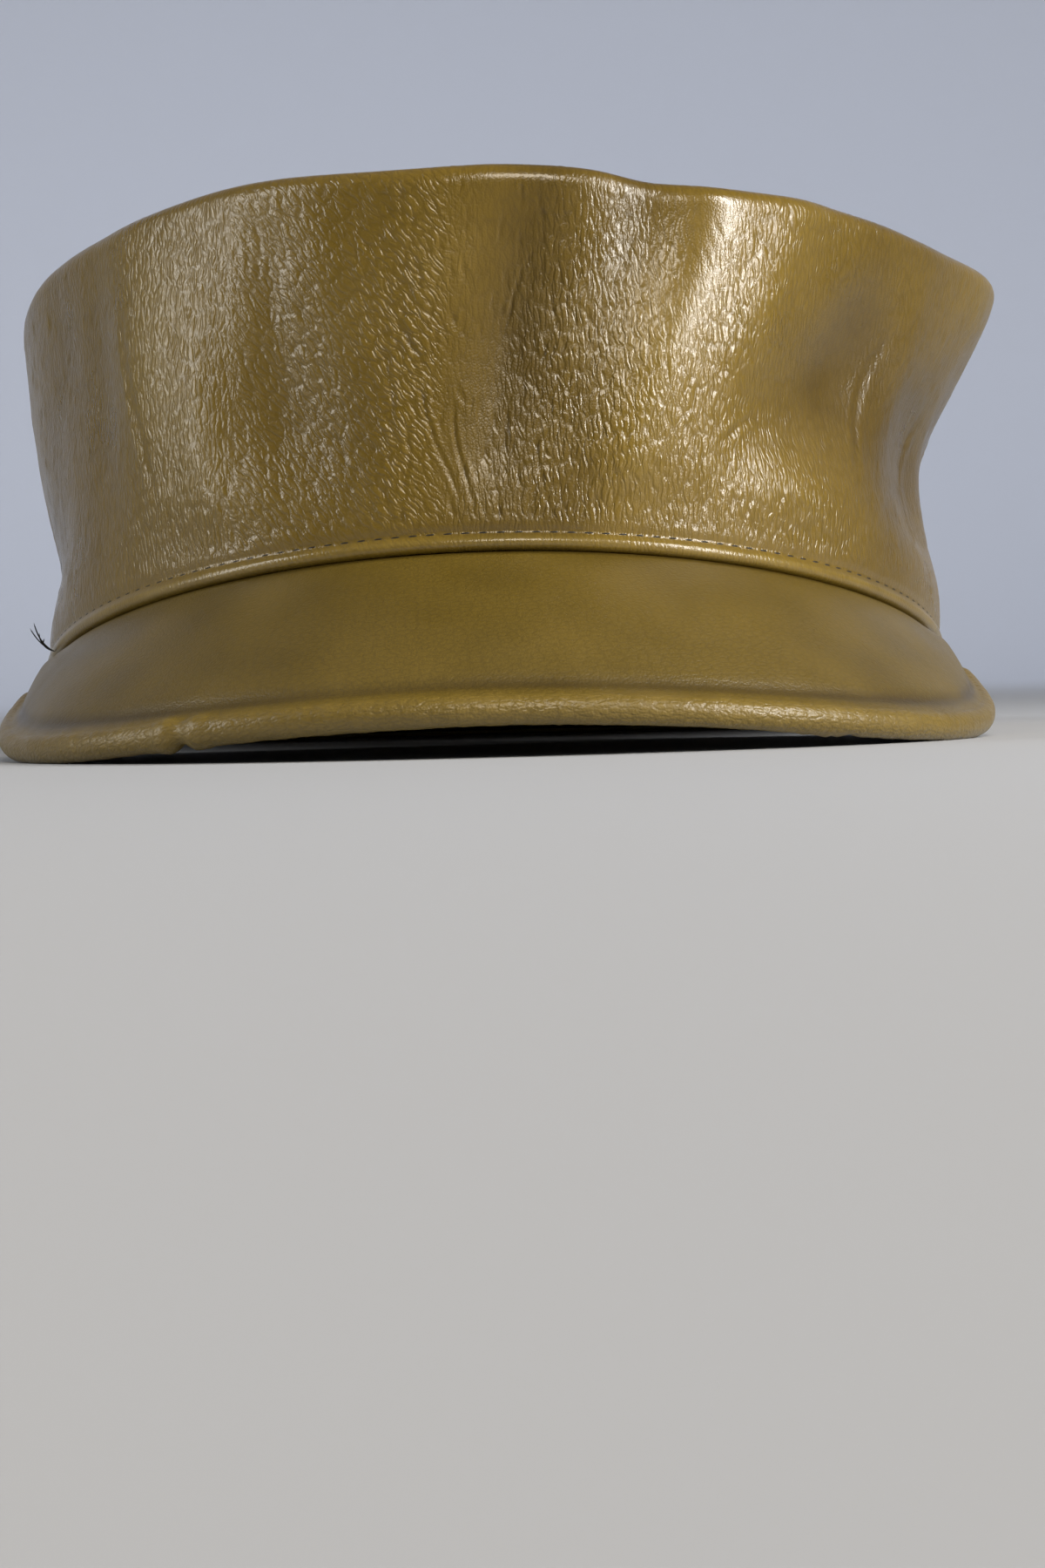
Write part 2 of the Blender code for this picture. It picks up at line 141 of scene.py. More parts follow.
# An oval whose front is narrower: x is half width times sine times (1 - egg cosine), y is minus half
# length times cosine.
def oval(turn, halfWidth, halfLength, egg):
    x = halfWidth * np.sin(turn) * (1.0 - egg * np.cos(turn))
    return np.stack([x, -halfLength * np.cos(turn), np.zeros_like(x)], axis=-1)


# The level direction out of the rim: the rim oval's slope turned a quarter.
def outwardAt(turn):
    f = capForm
    along = f["rimHalfWidth"] * (np.cos(turn) - f["rimEgg"] * np.cos(2.0 * turn))
    back = f["rimHalfLength"] * np.sin(turn)
    size = np.hypot(along, back)
    return np.stack([back / size, -along / size, np.zeros_like(size)], axis=-1)


# Height of the top edge: the crown's height and a few cosine waves.
def edgeHeight(turn):
    height = np.full_like(turn, capForm["crownHeight"])
    for count, crest, share in edgeWaves:
        height = height + capForm["crownHeight"] * share * np.cos(count * (turn - math.radians(crest)))
    return height


# How far the folds push the wall out: a sum of bumps along slanting lines, held still near the hem.
def foldOffset(turn, share):
    f = capForm
    held = ease((share * f["crownHeight"] - f["foldStart"]) / f["foldBlend"])
    return f["foldDepth"] * bumpSum(wallFolds + finerFolds, np.degrees(turn), share) * held


# The bead of the folded hem, a half sine, and the crease that its stitches pull in.
def hemOffset(height):
    bulge, band = capForm["hemBulge"], capForm["hemBand"]
    bead = bulge * np.sin(math.pi * np.clip(height / band, 0.0, 1.0))
    return bead - 0.5 * bulge * bell(height - band, 0.3 * band)


# The wall's face: the rim oval led to the top oval by the height share to the flare's power, plus folds
# and hem, less the inset.
def wallPoint(turn, height, inset):
    f = capForm
    turn, height, inset = np.broadcast_arrays(turn, height, inset)
    share = np.clip(height / edgeHeight(turn), 0.0, 1.0)
    low = oval(turn, f["rimHalfWidth"], f["rimHalfLength"], f["rimEgg"])
    high = oval(turn, f["rimHalfWidth"] + f["sideFlare"], f["rimHalfLength"] + f["endFlare"], f["topEgg"])
    high = high + np.array([f["topShiftSideways"], f["topShiftBack"], 0.0])
    point = low + (high - low) * (share ** f["flarePower"])[..., None]
    point = point + outwardAt(turn) * (foldOffset(turn, share) + hemOffset(height) - inset)[..., None]
    point[..., 2] = height
    return point


# How far the soft rim sinks from its plane, so that its back lies flat on the table: its rise less the
# rise of a bent rim, which stays near 0 at the back and blends into a slope.
def rimSag(turn):
    f = capForm
    tilt = math.radians(f["restTilt"])
    rise = f["rimHalfLength"] * (1.0 + np.cos(turn)) * math.sin(tilt)
    frontRise = 2.0 * f["rimHalfLength"] * math.sin(tilt)
    over = np.maximum(0.0, rise - f["sagStart"])
    bent = over ** 2 / (over + f["sagBlend"])
    frontBent = (frontRise - f["sagStart"]) ** 2 / (frontRise - f["sagStart"] + f["sagBlend"])
    return rise - ((frontRise + f["press"]) * bent / frontBent - f["press"])


# Turns a point about the back of the rim by the resting tilt, sinks it with the rim, and keeps it on the
# table.
def setDown(point, turn, sagShare):
    f = capForm
    tilt = math.radians(f["restTilt"])
    run = point[..., 1] - f["rimHalfLength"]
    x = point[..., 0] + f["moveSideways"]
    y = f["rimHalfLength"] + run * math.cos(tilt) + point[..., 2] * math.sin(tilt) + f["moveBack"]
    z = point[..., 2] * math.cos(tilt) - run * math.sin(tilt) - rimSag(turn) * sagShare
    return np.stack([x, y, np.maximum(z, 0.0)], axis=-1)


# The rim's sag dies out towards the top edge as the square of the height left.
def sagShareAt(height):
    return (1.0 - np.clip(height / capForm["crownHeight"], 0.0, 1.0)) ** 2


# Which way a ring-shaped grid of points faces: the cross product of its two slopes.
def gridNormals(point):
    across = np.roll(point, -1, axis=1) - np.roll(point, 1, axis=1)
    normal = np.cross(across, np.gradient(point, axis=0))
    return normal / np.maximum(np.linalg.norm(normal, axis=-1, keepdims=True), 1e-9)


# Draws each column of points in to its own middle, to the share of its size that is given.
def drawnIn(point, size):
    middle = point.mean(axis=0, keepdims=True)
    return middle + (point - middle) * size[None, :, None]


# Makes an object of a mesh, a lamp or a camera and puts it into the scene.
def placed(name, data):
    thing = bpy.data.objects.new(name, data)
    bpy.context.scene.collection.objects.link(thing)
    return thing


# Merges the points that meet, turns the faces outwards, and makes the mesh an object of the scene.
def finishMesh(name, mesh, finish):
    shape = bmesh.new()
    shape.from_mesh(mesh)
    bmesh.ops.remove_doubles(shape, verts=shape.verts[:], dist=0.001 * mm)
    bmesh.ops.recalc_face_normals(shape, faces=shape.faces[:])
    shape.to_mesh(mesh)
    shape.free()
    mesh.materials.append(finish)
    return placed(name, mesh)


# A mesh from a grid of points whose rows close on themselves, and its columns too where that is said.
# Points and grain map are in millimetres. The map has one more row and column than a closed grid, so that
# nothing runs backwards at the join.
def gridPiece(name, point, grainMap, finish, closeColumns, looks):
    rows, columns = point.shape[:2]
    i, j = np.meshgrid(np.arange(rows), np.arange(columns if closeColumns else columns - 1), indexing="ij")
    i, j = i.ravel(), j.ravel()
    here, above = i * columns, (i + 1) % rows * columns
    jNext = (j + 1) % columns
    corners = np.stack([here + j, here + jNext, above + jNext, above + j], axis=1)
    mesh = bpy.data.meshes.new(name)
    mesh.vertices.add(rows * columns)
    mesh.vertices.foreach_set("co", (point * mm).astype(np.float32).ravel())
    mesh.loops.add(corners.size)
    mesh.loops.foreach_set("vertex_index", corners.astype(np.int32).ravel())
    mesh.polygons.add(len(corners))
    mesh.polygons.foreach_set("loop_start", np.arange(0, corners.size, 4, dtype=np.int32))
    mesh.polygons.foreach_set("use_smooth", np.ones(len(corners), dtype=bool))
    mesh.update(calc_edges=True)
    wide = grainMap.shape[1]
    mapHere, mapAbove = i * wide + j, (i + 1) * wide + j
    mapCorner = np.stack([mapHere, mapHere + 1, mapAbove + 1, mapAbove], axis=1).ravel()
    layer = mesh.uv_layers.new(name="grainMap")
    layer.data.foreach_set("uv", (grainMap.reshape(-1, 2)[mapCorner] * mm).astype(np.float32).ravel())
    for title, values in looks.items():
        attribute = mesh.attributes.new(title, "FLOAT", "POINT")
        every = np.broadcast_to(values, (rows, columns))
        attribute.data.foreach_set("value", every.astype(np.float32).ravel())
    return finishMesh(name, mesh, finish)


# A colour such as "6b562c" as linear numbers: ((c + 0.055) / 1.055) to the power 2.4, or c / 12.92 near
# black.
def linearColour(code):
    shares = [int(code[k:k + 2], 16) / 255.0 for k in (0, 2, 4)]
    return tuple(c / 12.92 if c <= 0.04045 else ((c + 0.055) / 1.055) ** 2.4 for c in shares) + (1.0,)


# Adds one node, sets its options, and fills or links its sockets.
def addNode(tree, kind, options=None, sockets=None):
    node = tree.nodes.new(kind)
    for key, value in (options or {}).items():
        setattr(node, key, value)
    for key, value in (sockets or {}).items():
        if isinstance(value, bpy.types.NodeSocket):
            tree.links.new(value, node.inputs[key])
        else:
            node.inputs[key].default_value = value
    return node


# A new material, its node tree and its surface shader.
def newMaterial(name):
    material = bpy.data.materials.new(name)
    material.use_nodes = True
    return material, material.node_tree, material.node_tree.nodes["Principled BSDF"]


# What every leather has unless its own look says otherwise, with sizes in millimetres. "crease" is how
# wide and how long a cell of the grain is, "slants" the angles that it leans at, "lines" how strong the
# fine lines are beside the cells, and "wander" how far, over what distance, the cells stray.
plainLook = {
    "crease": (1.2, 1.2), "slants": (0.0,), "lines": 0.5, "wander": 0.8, "wanderSize": 4.0,
    "grainDepth": 0.08, "pore": 0.45, "poreDepth": 0.03, "blotch": 15.0, "blotchiness": 0.45,
}

# How the grain is drawn: scales are shares of a cell, edges are where a line or a cell's side is full.
grainForm = {
    "lineScale": 0.6, "lineEdge": 0.12, "cellScale": 0.75, "cellStart": 0.02, "cellEdge": 0.30,
    "fullHeight": 1.3, "darkest": 0.86, "palest": 1.02, "glossier": 0.05, "duller": 0.07,
}


# Finished cowhide. Its colour is darker in the valleys as painted shade, lighter on the ridges as painted
# light, and paler where it is rubbed and where a painted highlight is laid. It has drawn-out cells of grain
# with pores in them, darker between the cells as painted shade, and a waxy top coat that gives the soft
# glints.
def hide(name, ownLook):
    look, g = {**plainLook, **ownLook}, grainForm
    material, tree, shader = newMaterial(name)

    def node(kind, output, sockets=None, **options):
        return addNode(tree, "ShaderNode" + kind, options, sockets).outputs[output]

    def calc(operation, *values, **options):
        return node("Math", 0, dict(enumerate(values)), operation=operation, **options)

    def mapped(value, low, high, toLow=0.0, toHigh=1.0, kind="LINEAR"):
        return node("MapRange", "Result", {"Value": value, "From Min": low, "From Max": high,
                                           "To Min": toLow, "To Max": toHigh}, interpolation_type=kind)

    grainMap, place = node("UVMap", "UV", uv_map="grainMap"), node("TexCoord", "Object")
    toneAndShading, wornAndSheen, grained = (node("Attribute", "Fac", attribute_name=a) for a in ("toneAndShading", "wornAndSheen", "grained"))

    # Lines run where a stretched noise crosses its middle value, and the cells are a stretched Voronoi.
    # A second set of both leans to the left where the leaning map says so.
    wander = node("TexNoise", "Color", {"Vector": grainMap, "Scale": 1.0 / (look["wanderSize"] * mm),
                                        "Detail": 2.0}, noise_dimensions="2D")
    wandered = node("VectorMath", 0, {0: wander, 1: (look["wander"] * mm,) * 3, 2: grainMap},
                    operation="MULTIPLY_ADD")
    stretch = (1.0 / (look["crease"][0] * mm), 1.0 / (look["crease"][1] * mm), 1.0)
    sets = []
    for slant in look["slants"]:
        turned = node("VectorRotate", 0, {"Vector": wandered, "Angle": math.radians(slant)},
                      rotation_type="Z_AXIS")
        stretched = node("VectorMath", 0, {0: turned, 1: stretch}, operation="MULTIPLY")
        field = node("TexNoise", "Fac", {"Vector": stretched, "Scale": g["lineScale"], "Detail": 1.5,
                                         "Roughness": 0.5}, noise_dimensions="2D")
        offMiddle = calc("ABSOLUTE", calc("SUBTRACT", field, 0.5))
        lines = mapped(offMiddle, 0.0, g["lineEdge"], kind="SMOOTHSTEP")
        fromSide = node("TexVoronoi", "Distance",
                        {"Vector": stretched, "Scale": g["cellScale"], "Randomness": 0.95},
                        voronoi_dimensions="2D", feature="DISTANCE_TO_EDGE")
        cells = mapped(fromSide, g["cellStart"], g["cellEdge"], kind="SMOOTHSTEP")
        sets.append(calc("MULTIPLY_ADD", lines, look["lines"], cells))
    plump = sets[0]
    if len(sets) == 2:
        leaning = node("Attribute", "Fac", attribute_name="leaning")
        plump = node("Mix", 0, {0: leaning, 2: sets[0], 3: sets[1]}, data_type="FLOAT")
    pores = node("TexVoronoi", "Distance", {"Vector": grainMap, "Scale": 1.0 / (look["pore"] * mm)},
                 voronoi_dimensions="2D", feature="F1")
    grainBump = node("Bump", "Normal", {"Height": calc("MULTIPLY", plump, grained),
                                        "Distance": look["grainDepth"] * mm})
    fullBump = node("Bump", "Normal", {"Height": pores, "Distance": look["poreDepth"] * mm,
                                       "Normal": grainBump}, invert=True)

    # Colour: valley to ridge by the tone, which carries painted shade and painted light, blotches by a slow
    # noise, paler where it is rubbed and where a painted highlight is laid, and painted shade between the
    # cells.
    blotch = node("TexNoise", "Fac", {"Vector": place, "Scale": 1.0 / (look["blotch"] * mm),
                                      "Detail": 4.0, "Roughness": 0.6})
    mixed = calc("MULTIPLY_ADD", blotch, look["blotchiness"], -0.5 * look["blotchiness"])
    mixed = calc("ADD", mixed, toneAndShading, use_clamp=True)
    ramp = addNode(tree, "ShaderNodeValToRGB", {}, {"Fac": mixed})
    ramp.color_ramp.elements[0].color = linearColour(look["valley"])
    ramp.color_ramp.elements[1].color = linearColour(look["ridge"])
    ramp.color_ramp.elements.new(0.5).color = linearColour(look["middle"])
    # The rubbed colour is wear, and on the peak's roll it is a painted highlight.
    rubbedAndSheen = node("Mix", 2, {"Factor": wornAndSheen, 6: ramp.outputs["Color"], 7: linearColour(look["rubbedAndSheen"])},
                  data_type="RGBA")
    # Painted shade: the colour is darker where the grain's cells are low, and a little paler on the plump
    # ones.
    between = mapped(plump, 0.0, g["fullHeight"], g["darkest"], g["palest"])
    colour = node("VectorMath", 0, {0: rubbedAndSheen, "Scale": between}, operation="SCALE")
    gloss = mapped(blotch, 0.3, 0.7, look["roughness"] - g["glossier"], look["roughness"] + g["duller"])
    for socket, value in (("Base Color", colour), ("Roughness", gloss), ("Normal", fullBump),
                          ("Coat Normal", grainBump)):
        tree.links.new(value, shader.inputs[socket])
    for socket, value in (("IOR", 1.5), ("Coat Weight", look["coat"]),
                          ("Coat Roughness", look["coatRoughness"])):
        shader.inputs[socket].default_value = value
    return material


# Gives a piece its place in the frame: it rides on the cap's body and stands for the solids that it hides.
# Its slot is not used.
def settle(piece, slot, *solids):
    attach(piece, "root")
    if solids:
        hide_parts(*solids)
    return piece


# Stitched side wall of the crown. Semi-gloss olive leather, with creases that fan out from the middle of
# the hem. A noise is given by its cells round the cap and their height.
crownWall = {
    "columns": 640, "crowding": 0.60, "wallRows": 104, "hemRows": 9, "innerRows": 15, "insideMap": 160.0,
    "shoulderTurns": (15.0, 30.0, 45.0, 60.0, 75.0, 90.0), "innerTurns": (90.0, 55.0, 20.0),
    "lipSteps": [(0.35, 0.05), (0.65, 0.22), (0.88, 0.62), (0.95, 1.25)],  # how far in, and how far down
    "slow": (62, 13.0), "quick": (150, 5.5), "quickShare": 0.45, "pebbles": (400, 1.7),
    "creaseDepth": 0.19, "pebbleDepth": 0.05,
    "seamDepth": 0.55, "seamWidth": 0.9, "seamSide": 0.30, "seamSideAway": 2.4, "seamSideWidth": 1.3,
    # Painted shade: darker lines of colour, each with its angle at the rim, angle at the top, half width in
    # degrees and amount.
    "paintedShadeLines": [(1, 6, 7.0, 0.34), (9, 17, 3.5, 0.22), (60, 60, 13.0, 0.28)],
    "leaningAt": -20.0, "leaningWidth": 17.0,
    "look": {"valley": "59460e", "middle": "78611a", "ridge": "877024", "rubbedAndSheen": "9a8440",
             "crease": (0.82, 2.8), "slants": (-4.0, -46.0), "lines": 0.45, "wander": 1.6,
             "grainDepth": 0.085, "pore": 0.42, "blotch": 22.0, "blotchiness": 0.36,
             "roughness": 0.30, "coat": 0.32, "coatRoughness": 0.16},
}

# Short creases, in millimetres. The seed fixes where they are.
strokes = {
    "count": 7000, "seed": 7, "lowest": 4.0, "highest": 66.0, "depth": 0.115, "least": 0.5,
    "length": (1.2, 3.2), "width": (0.40, 0.64), "scatter": 13.0, "bend": 0.06,
    "reachAcross": 2.0, "reachUp": 1.5, "sideShare": 0.50, "sideAway": 1.8, "sideWidth": 0.8,
}

# Long single creases: angle and height share at both ends, half width and depth in millimetres.
longCreases = [
    (4.5, 0.74, 0.3, 0.54, 0.45, 0.17), (6.8, 0.65, 8.5, 0.46, 0.38, 0.18), (8.5, 0.63, 10, 0.53, 0.38, 0.20),
    (-5.0, 0.38, -2.4, 0.08, 0.42, 0.18), (-9.0, 0.42, -4.0, 0.10, 0.40, 0.15),
    (18.5, 0.60, 18.0, 0.48, 0.36, 0.15), (35.0, 0.38, 28.0, 0.29, 0.70, 0.32),
    (13.0, 0.36, 15.5, 0.12, 0.40, 0.16), (5.5, 0.30, 7.0, 0.06, 0.40, 0.14),
    (-14.0, 0.70, -8.0, 0.40, 0.42, 0.14), (-52.0, 0.80, -46.0, 0.20, 0.90, 0.20),
    (58.0, 0.70, 52.0, 0.30, 0.90, 0.24), (76.0, 0.60, 70.0, 0.20, 1.20, 0.30),
    (-96.0, 0.55, -88.0, 0.15, 1.20, 0.26), (112.0, 0.80, 104.0, 0.30, 1.10, 0.22),
    (-133.0, 0.70, -127.0, 0.25, 1.10, 0.22), (141.0, 0.62, 147.0, 0.20, 1.10, 0.20),
    (166.0, 0.80, 172.0, 0.40, 1.00, 0.18), (-168.0, 0.58, -161.0, 0.18, 1.00, 0.20),
]

# Where the short creases are stronger or weaker, written as the folds are.
creasePatches = [
    (-15, -15, 0.40, 0.36, 12, 0.55), (13, 13, 0.36, 0.36, 10, 0.50), (36, 36, 0.10, 0.20, 12, 0.75),
    (-36, -36, 0.14, 0.16, 9, 0.45), (21, 41, 0.60, 0.40, 6, 0.35), (50, 50, 0.55, 0.25, 9, -0.45),
]

# The ridge's flank and the middle valley, which are nearly smooth: angle at the rim and at the top,
# height shares where that starts and is full, half width, amount.
smoothLines = [(17, 27, 0.35, 0.65, 4.0, 0.55), (-7.5, 1.5, 0.0, 0.25, 5.5, 0.62)]


# Which way the creases run, in degrees from upright: a sum of bumps, so that left of the front's middle
# they lean far to the left as they rise. A sine takes over on the sides and at the back.
def creaseSlant(degrees, share):
    slant = -44.0 * bell(degrees + 22.0, 15.0) - 16.0 * bell(degrees - 22.0, 13.0) * share
    slant = slant + 14.0 * bell(degrees - 8.0, 6.0) * (1.0 - share) + 24.0 * bell(degrees + 48.0, 12.0)
    return slant + 26.0 * np.sin(np.radians(degrees) * 4.0) * ease(np.abs(degrees) / 50.0 - 1.2)


# How strong the creases are: slow noise and the patches, less the smooth lines, fading out at the hem.
def creaseStrength(degrees, share):
    strength = 0.42 + 0.30 * ringNoise(degrees, 14, share * 3.0, 71, start=2)
    strength += bumpSum(creasePatches, degrees, share)
    for atRim, atTop, starts, full, width, amount in smoothLines:
        away = degrees - (atRim + (atTop - atRim) * share)
        strength -= amount * bell(away, width) * ease((share - starts) / (full - starts))
    return np.clip(strength, 0.06, 1.25) * (0.35 + 0.65 * ease(share / 0.05))


# Presses the short creases into the relief. Each is a valley with a low ridge on both sides, along a
# slight curve, and tapers as 1 less the square of the distance along it.
def pressStrokes(arc, height, relief):
    s = strokes
    random = np.random.default_rng(s["seed"])
    columnArc, rowHeight = arc[0], height.mean(axis=1)
    count = s["count"]
    turns, heights = random.uniform(-0.5, 0.5, count), random.uniform(s["lowest"], s["highest"], count)
    degrees, shares = turns * 360.0, heights / capForm["crownHeight"]
    kept = random.random(count) < creaseStrength(degrees, shares)
    slants = np.radians(creaseSlant(degrees, shares) + random.normal(0.0, s["scatter"], count))
    lengths, widths = random.uniform(*s["length"], count), random.uniform(*s["width"], count)
    every = np.stack([turns * capForm["rimRound"], heights, slants, lengths, widths], axis=1)
    for atArc, atHeight, slant, length, width in every[kept]:
        depth = random.uniform(s["least"], 1.0) * s["depth"]
        bend = random.normal(0.0, s["bend"])
        reach = np.array([-1.0, 1.0]) * length
        left, right = np.searchsorted(columnArc, atArc + reach + np.sign(reach) * s["reachAcross"])
        low, high = np.searchsorted(rowHeight, atHeight + reach + np.sign(reach) * s["reachUp"])
        if right - left < 2 or high - low < 2:
            continue
        sideways, above = arc[low:high, left:right] - atArc, height[low:high, left:right] - atHeight
        along = sideways * math.sin(slant) + above * math.cos(slant)
        across = sideways * math.cos(slant) - above * math.sin(slant) + bend * along ** 2
        taper = np.clip(1.0 - (along / length) ** 2, 0.0, 1.0) ** 1.5
        side = bell(np.abs(across) - s["sideAway"] * width, s["sideWidth"] * width)
        relief[low:high, left:right] -= depth * taper * (bell(across, width) - s["sideShare"] * side)


# Presses the long creases into the relief: each is a valley with a low ridge on both sides along a
# slightly wavy line between its two ends.
def pressLongCreases(arc, height, relief):
    for startTurn, startShare, endTurn, endShare, width, depth in longCreases:
        ax, ay = roundRim(startTurn), startShare * capForm["crownHeight"]
        dx, dy = roundRim(endTurn) - ax, endShare * capForm["crownHeight"] - ay
        t = np.clip(((arc - ax) * dx + (height - ay) * dy) / (dx * dx + dy * dy), 0.0, 1.0)
        away = np.hypot(arc - ax - t * dx + 0.8 * np.sin(t * 5.0), height - ay - t * dy)
        taper = ease(4.0 * t * (1.0 - t) + 0.15)
        relief -= depth * taper * (bell(away, width) - 0.55 * bell(away - 1.9 * width, 0.8 * width))


# The wall's fine relief in millimetres: slow pulls and pebbles of noise, short creases, the long single
# ones, and the seam up the back, which is a narrow groove between two low ridges.
def wallRelief(degrees, height, edge, strength):
    s = crownWall
    arc = roundRim(degrees)
    slow = ringNoise(degrees, s["slow"][0], height / s["slow"][1], 11) - 0.5
    quick = ringNoise(degrees, s["quick"][0], height / s["quick"][1], 12) - 0.5
    pebbles = ringNoise(degrees, s["pebbles"][0], height / s["pebbles"][1], 13) - 0.5
    relief = s["creaseDepth"] * (slow + s["quickShare"] * quick) + s["pebbleDepth"] * pebbles * strength
    pressStrokes(arc, height, relief)
    pressLongCreases(arc, height, relief)
    calm = calmAt(height, edge)
    fromSeam = roundRim(180.0 - np.abs(degrees))
    seam = s["seamDepth"] * bell(fromSeam, s["seamWidth"])
    seam -= s["seamSide"] * bell(fromSeam - s["seamSideAway"], s["seamSideWidth"])
    return relief * calm - seam * ease((height - 3.0) / 1.5)


# How much of the relief shows: none on the hem's bead and on the lip, all a few millimetres from them.
def calmAt(height, edge):
    calm = ease((height - 3.6) / 2.5) * ease((edge - height + 1.5) / 5.0)
    calm[-len(crownWall["lipSteps"]):] = 0.0
    return calm


# The outside of the wall from under the hem to the seam with the top: a half circle, the face, the
# quarter circle of the shoulder, and the lip that dips into the seam. Gives the points and their heights.
def wallOutside(turn, edge):
    s, f = crownWall, capForm
    radius, shoulder = 0.5 * (f["leather"] + f["hemBulge"]), f["shoulder"]
    hemTurn = np.radians(np.linspace(-180.0, 0.0, s["hemRows"]))[:, None]
    hemHeight = radius + radius * np.sin(hemTurn) + 0.0 * turn
    hemRoll = wallPoint(turn, hemHeight, radius - radius * np.cos(hemTurn))
    bead = hemOffset(radius) * 0.5 * (1.0 + np.cos(hemTurn))
    hemRoll += outwardAt(turn) * (bead - hemOffset(hemHeight))[..., None]

    climb = np.linspace(0.0, 1.0, s["wallRows"] + 1)[1:, None] ** 1.06
    faceHeight = radius + climb * (edge - shoulder - radius)
    over = np.radians(np.array(s["shoulderTurns"]))[:, None]
    overHeight = edge + shoulder * (np.sin(over) - 1.0)
    past, dip = np.array(s["lipSteps"]).T[:, :, None]
    lip = wallPoint(turn, edge, shoulder + past)
    lip[..., 2] -= dip
    point = [hemRoll, wallPoint(turn, faceHeight, 0.0),
             wallPoint(turn, overHeight, shoulder * (1.0 - np.cos(over))), lip]
    return np.concatenate(point), np.concatenate([hemHeight, faceHeight, overHeight, edge - dip])


# The inside, plain, from under the lip down to the hem. Gives the points and their heights.
def wallInside(turn, edge):
    s, f = crownWall, capForm
    thick, shoulder = f["leather"], f["shoulder"]
    underLip = wallPoint(turn, edge, shoulder + s["lipSteps"][-1][0])[None]
    underLip[..., 2] -= thick
    bend = np.radians(np.array(s["innerTurns"]))[:, None]
    bendHeight = edge - shoulder + (shoulder - thick) * np.sin(bend)
    faceHeight = np.linspace(0.97, 0.05, s["innerRows"])[:, None] * (edge - shoulder)
    point = [underLip, wallPoint(turn, bendHeight, shoulder - (shoulder - thick) * np.cos(bend)),
             wallPoint(turn, faceHeight, thick)]
    return np.concatenate(point), np.concatenate([(edge - thick)[None], bendHeight, faceHeight])


def buildCrownWall():
    s, f = crownWall, capForm
    even = np.linspace(-math.pi, math.pi, s["columns"] + 1)
    turnAll = even - s["crowding"] * np.sin(even)  # closer together at the front
    turn = turnAll[:-1]
    edge = edgeHeight(turn)
    outer, height = wallOutside(turn, edge)
    inner, innerHeight = wallInside(turn, edge)
    share = np.clip(height / edge, 0.0, 1.0)
    degrees = np.degrees(turn) + 0.0 * height
    strength = creaseStrength(degrees, share)
    relief = wallRelief(degrees, height, edge, strength)
    outer = outer + gridNormals(outer) * relief[..., None]

    # The rim's sag reaches up to the shoulder, outside and inside.
    rowsOut, rowsIn = len(outer), len(inner)
    sag = sagShareAt(np.concatenate([height, innerHeight]))
    topOut, topIn = len(s["shoulderTurns"]) + len(s["lipSteps"]), len(s["innerTurns"]) + 1
    sag[rowsOut - topOut:rowsOut + topIn] = 0.0
    point = setDown(np.concatenate([outer, inner]), turn, sag)

    # The inside comes after the outside in the grain map.
    mapUp = np.concatenate([height, s["insideMap"] - innerHeight, 0.0 * height[:1] + s["insideMap"]])
    mapUp = np.concatenate([mapUp, mapUp[:, :1]], axis=1)
    grainMap = np.stack([roundRim(np.degrees(turnAll)) + 0.0 * mapUp, mapUp], axis=-1)

    # Painted shade and light: the colour is darker in the valleys of the folds and creases and lighter on
    # their ridges, and darker along the painted shade lines.
    fold = foldOffset(turn, share) / f["foldDepth"]
    toneAndShading = 0.50 + 0.45 * fold + 0.45 * relief
    for atRim, atTop, width, amount in s["paintedShadeLines"]:
        toneAndShading -= amount * bell(degrees - atRim - (atTop - atRim) * share, width)
    wornAndSheen = 0.35 * bell(height - 1.4, 0.9) + 0.20 * np.clip(fold, 0, 1)
    wornAndSheen *= 0.5 + ringNoise(degrees, 90, height / 4.0, 31)
    grained = strength * (0.4 + 0.6 * calmAt(height, edge))
    # The inside takes a darker colour, as painted shade.
    hidden = np.ones((rowsIn, len(turn)))
    looks = {
        "toneAndShading": np.concatenate([toneAndShading, 0.2 * hidden]),
        "wornAndSheen": np.concatenate([np.clip(wornAndSheen, 0, 1), 0.0 * hidden]),
        "grained": np.concatenate([grained, 0.5 * hidden]),
        "leaning": ease((bell(np.degrees(turn) - s["leaningAt"], s["leaningWidth"]) - 0.38) / 0.24),
    }
    piece = gridPiece("crown_wall", point, grainMap, hide("olive_crown_leather", s["look"]), True, looks)
    print("crown wall:", len(piece.data.polygons), "faces")
    return settle(piece, "side_leather", "crown_side")


# Flat top of the crown. The same leather, lying slack, with small puckers where it is gathered into the
# seam. A dent has its place, reach and depth as shares of the top.
crownTopForm = {
    "columns": 480, "rings": 92, "sag": 4.5, "pucker": 0.32, "puckerReach": 7.0, "slackDepth": 0.48,
    "halfWidth": 88.0, "underEvery": 6, "underDip": 0.25,
    "lipSteps": [(1.15, 1.25), (1.22, 0.62), (1.45, 0.22), (1.85, 0.05), (2.35, 0.0)],  # in, and down
    "dents": [(0.42, -0.38, 0.34, 0.42), (-0.45, 0.10, 0.36, -0.30), (0.10, 0.52, 0.32, 0.34)],
    "look": {"valley": "5f4b17", "middle": "766023", "ridge": "826c2e", "rubbedAndSheen": "968048",
             "crease": (1.2, 1.6), "slants": (20.0,), "wander": 1.4, "wanderSize": 6.0, "grainDepth": 0.10,
             "blotch": 30.0, "blotchiness": 0.20, "roughness": 0.50, "coat": 0.08, "coatRoughness": 0.30},
}


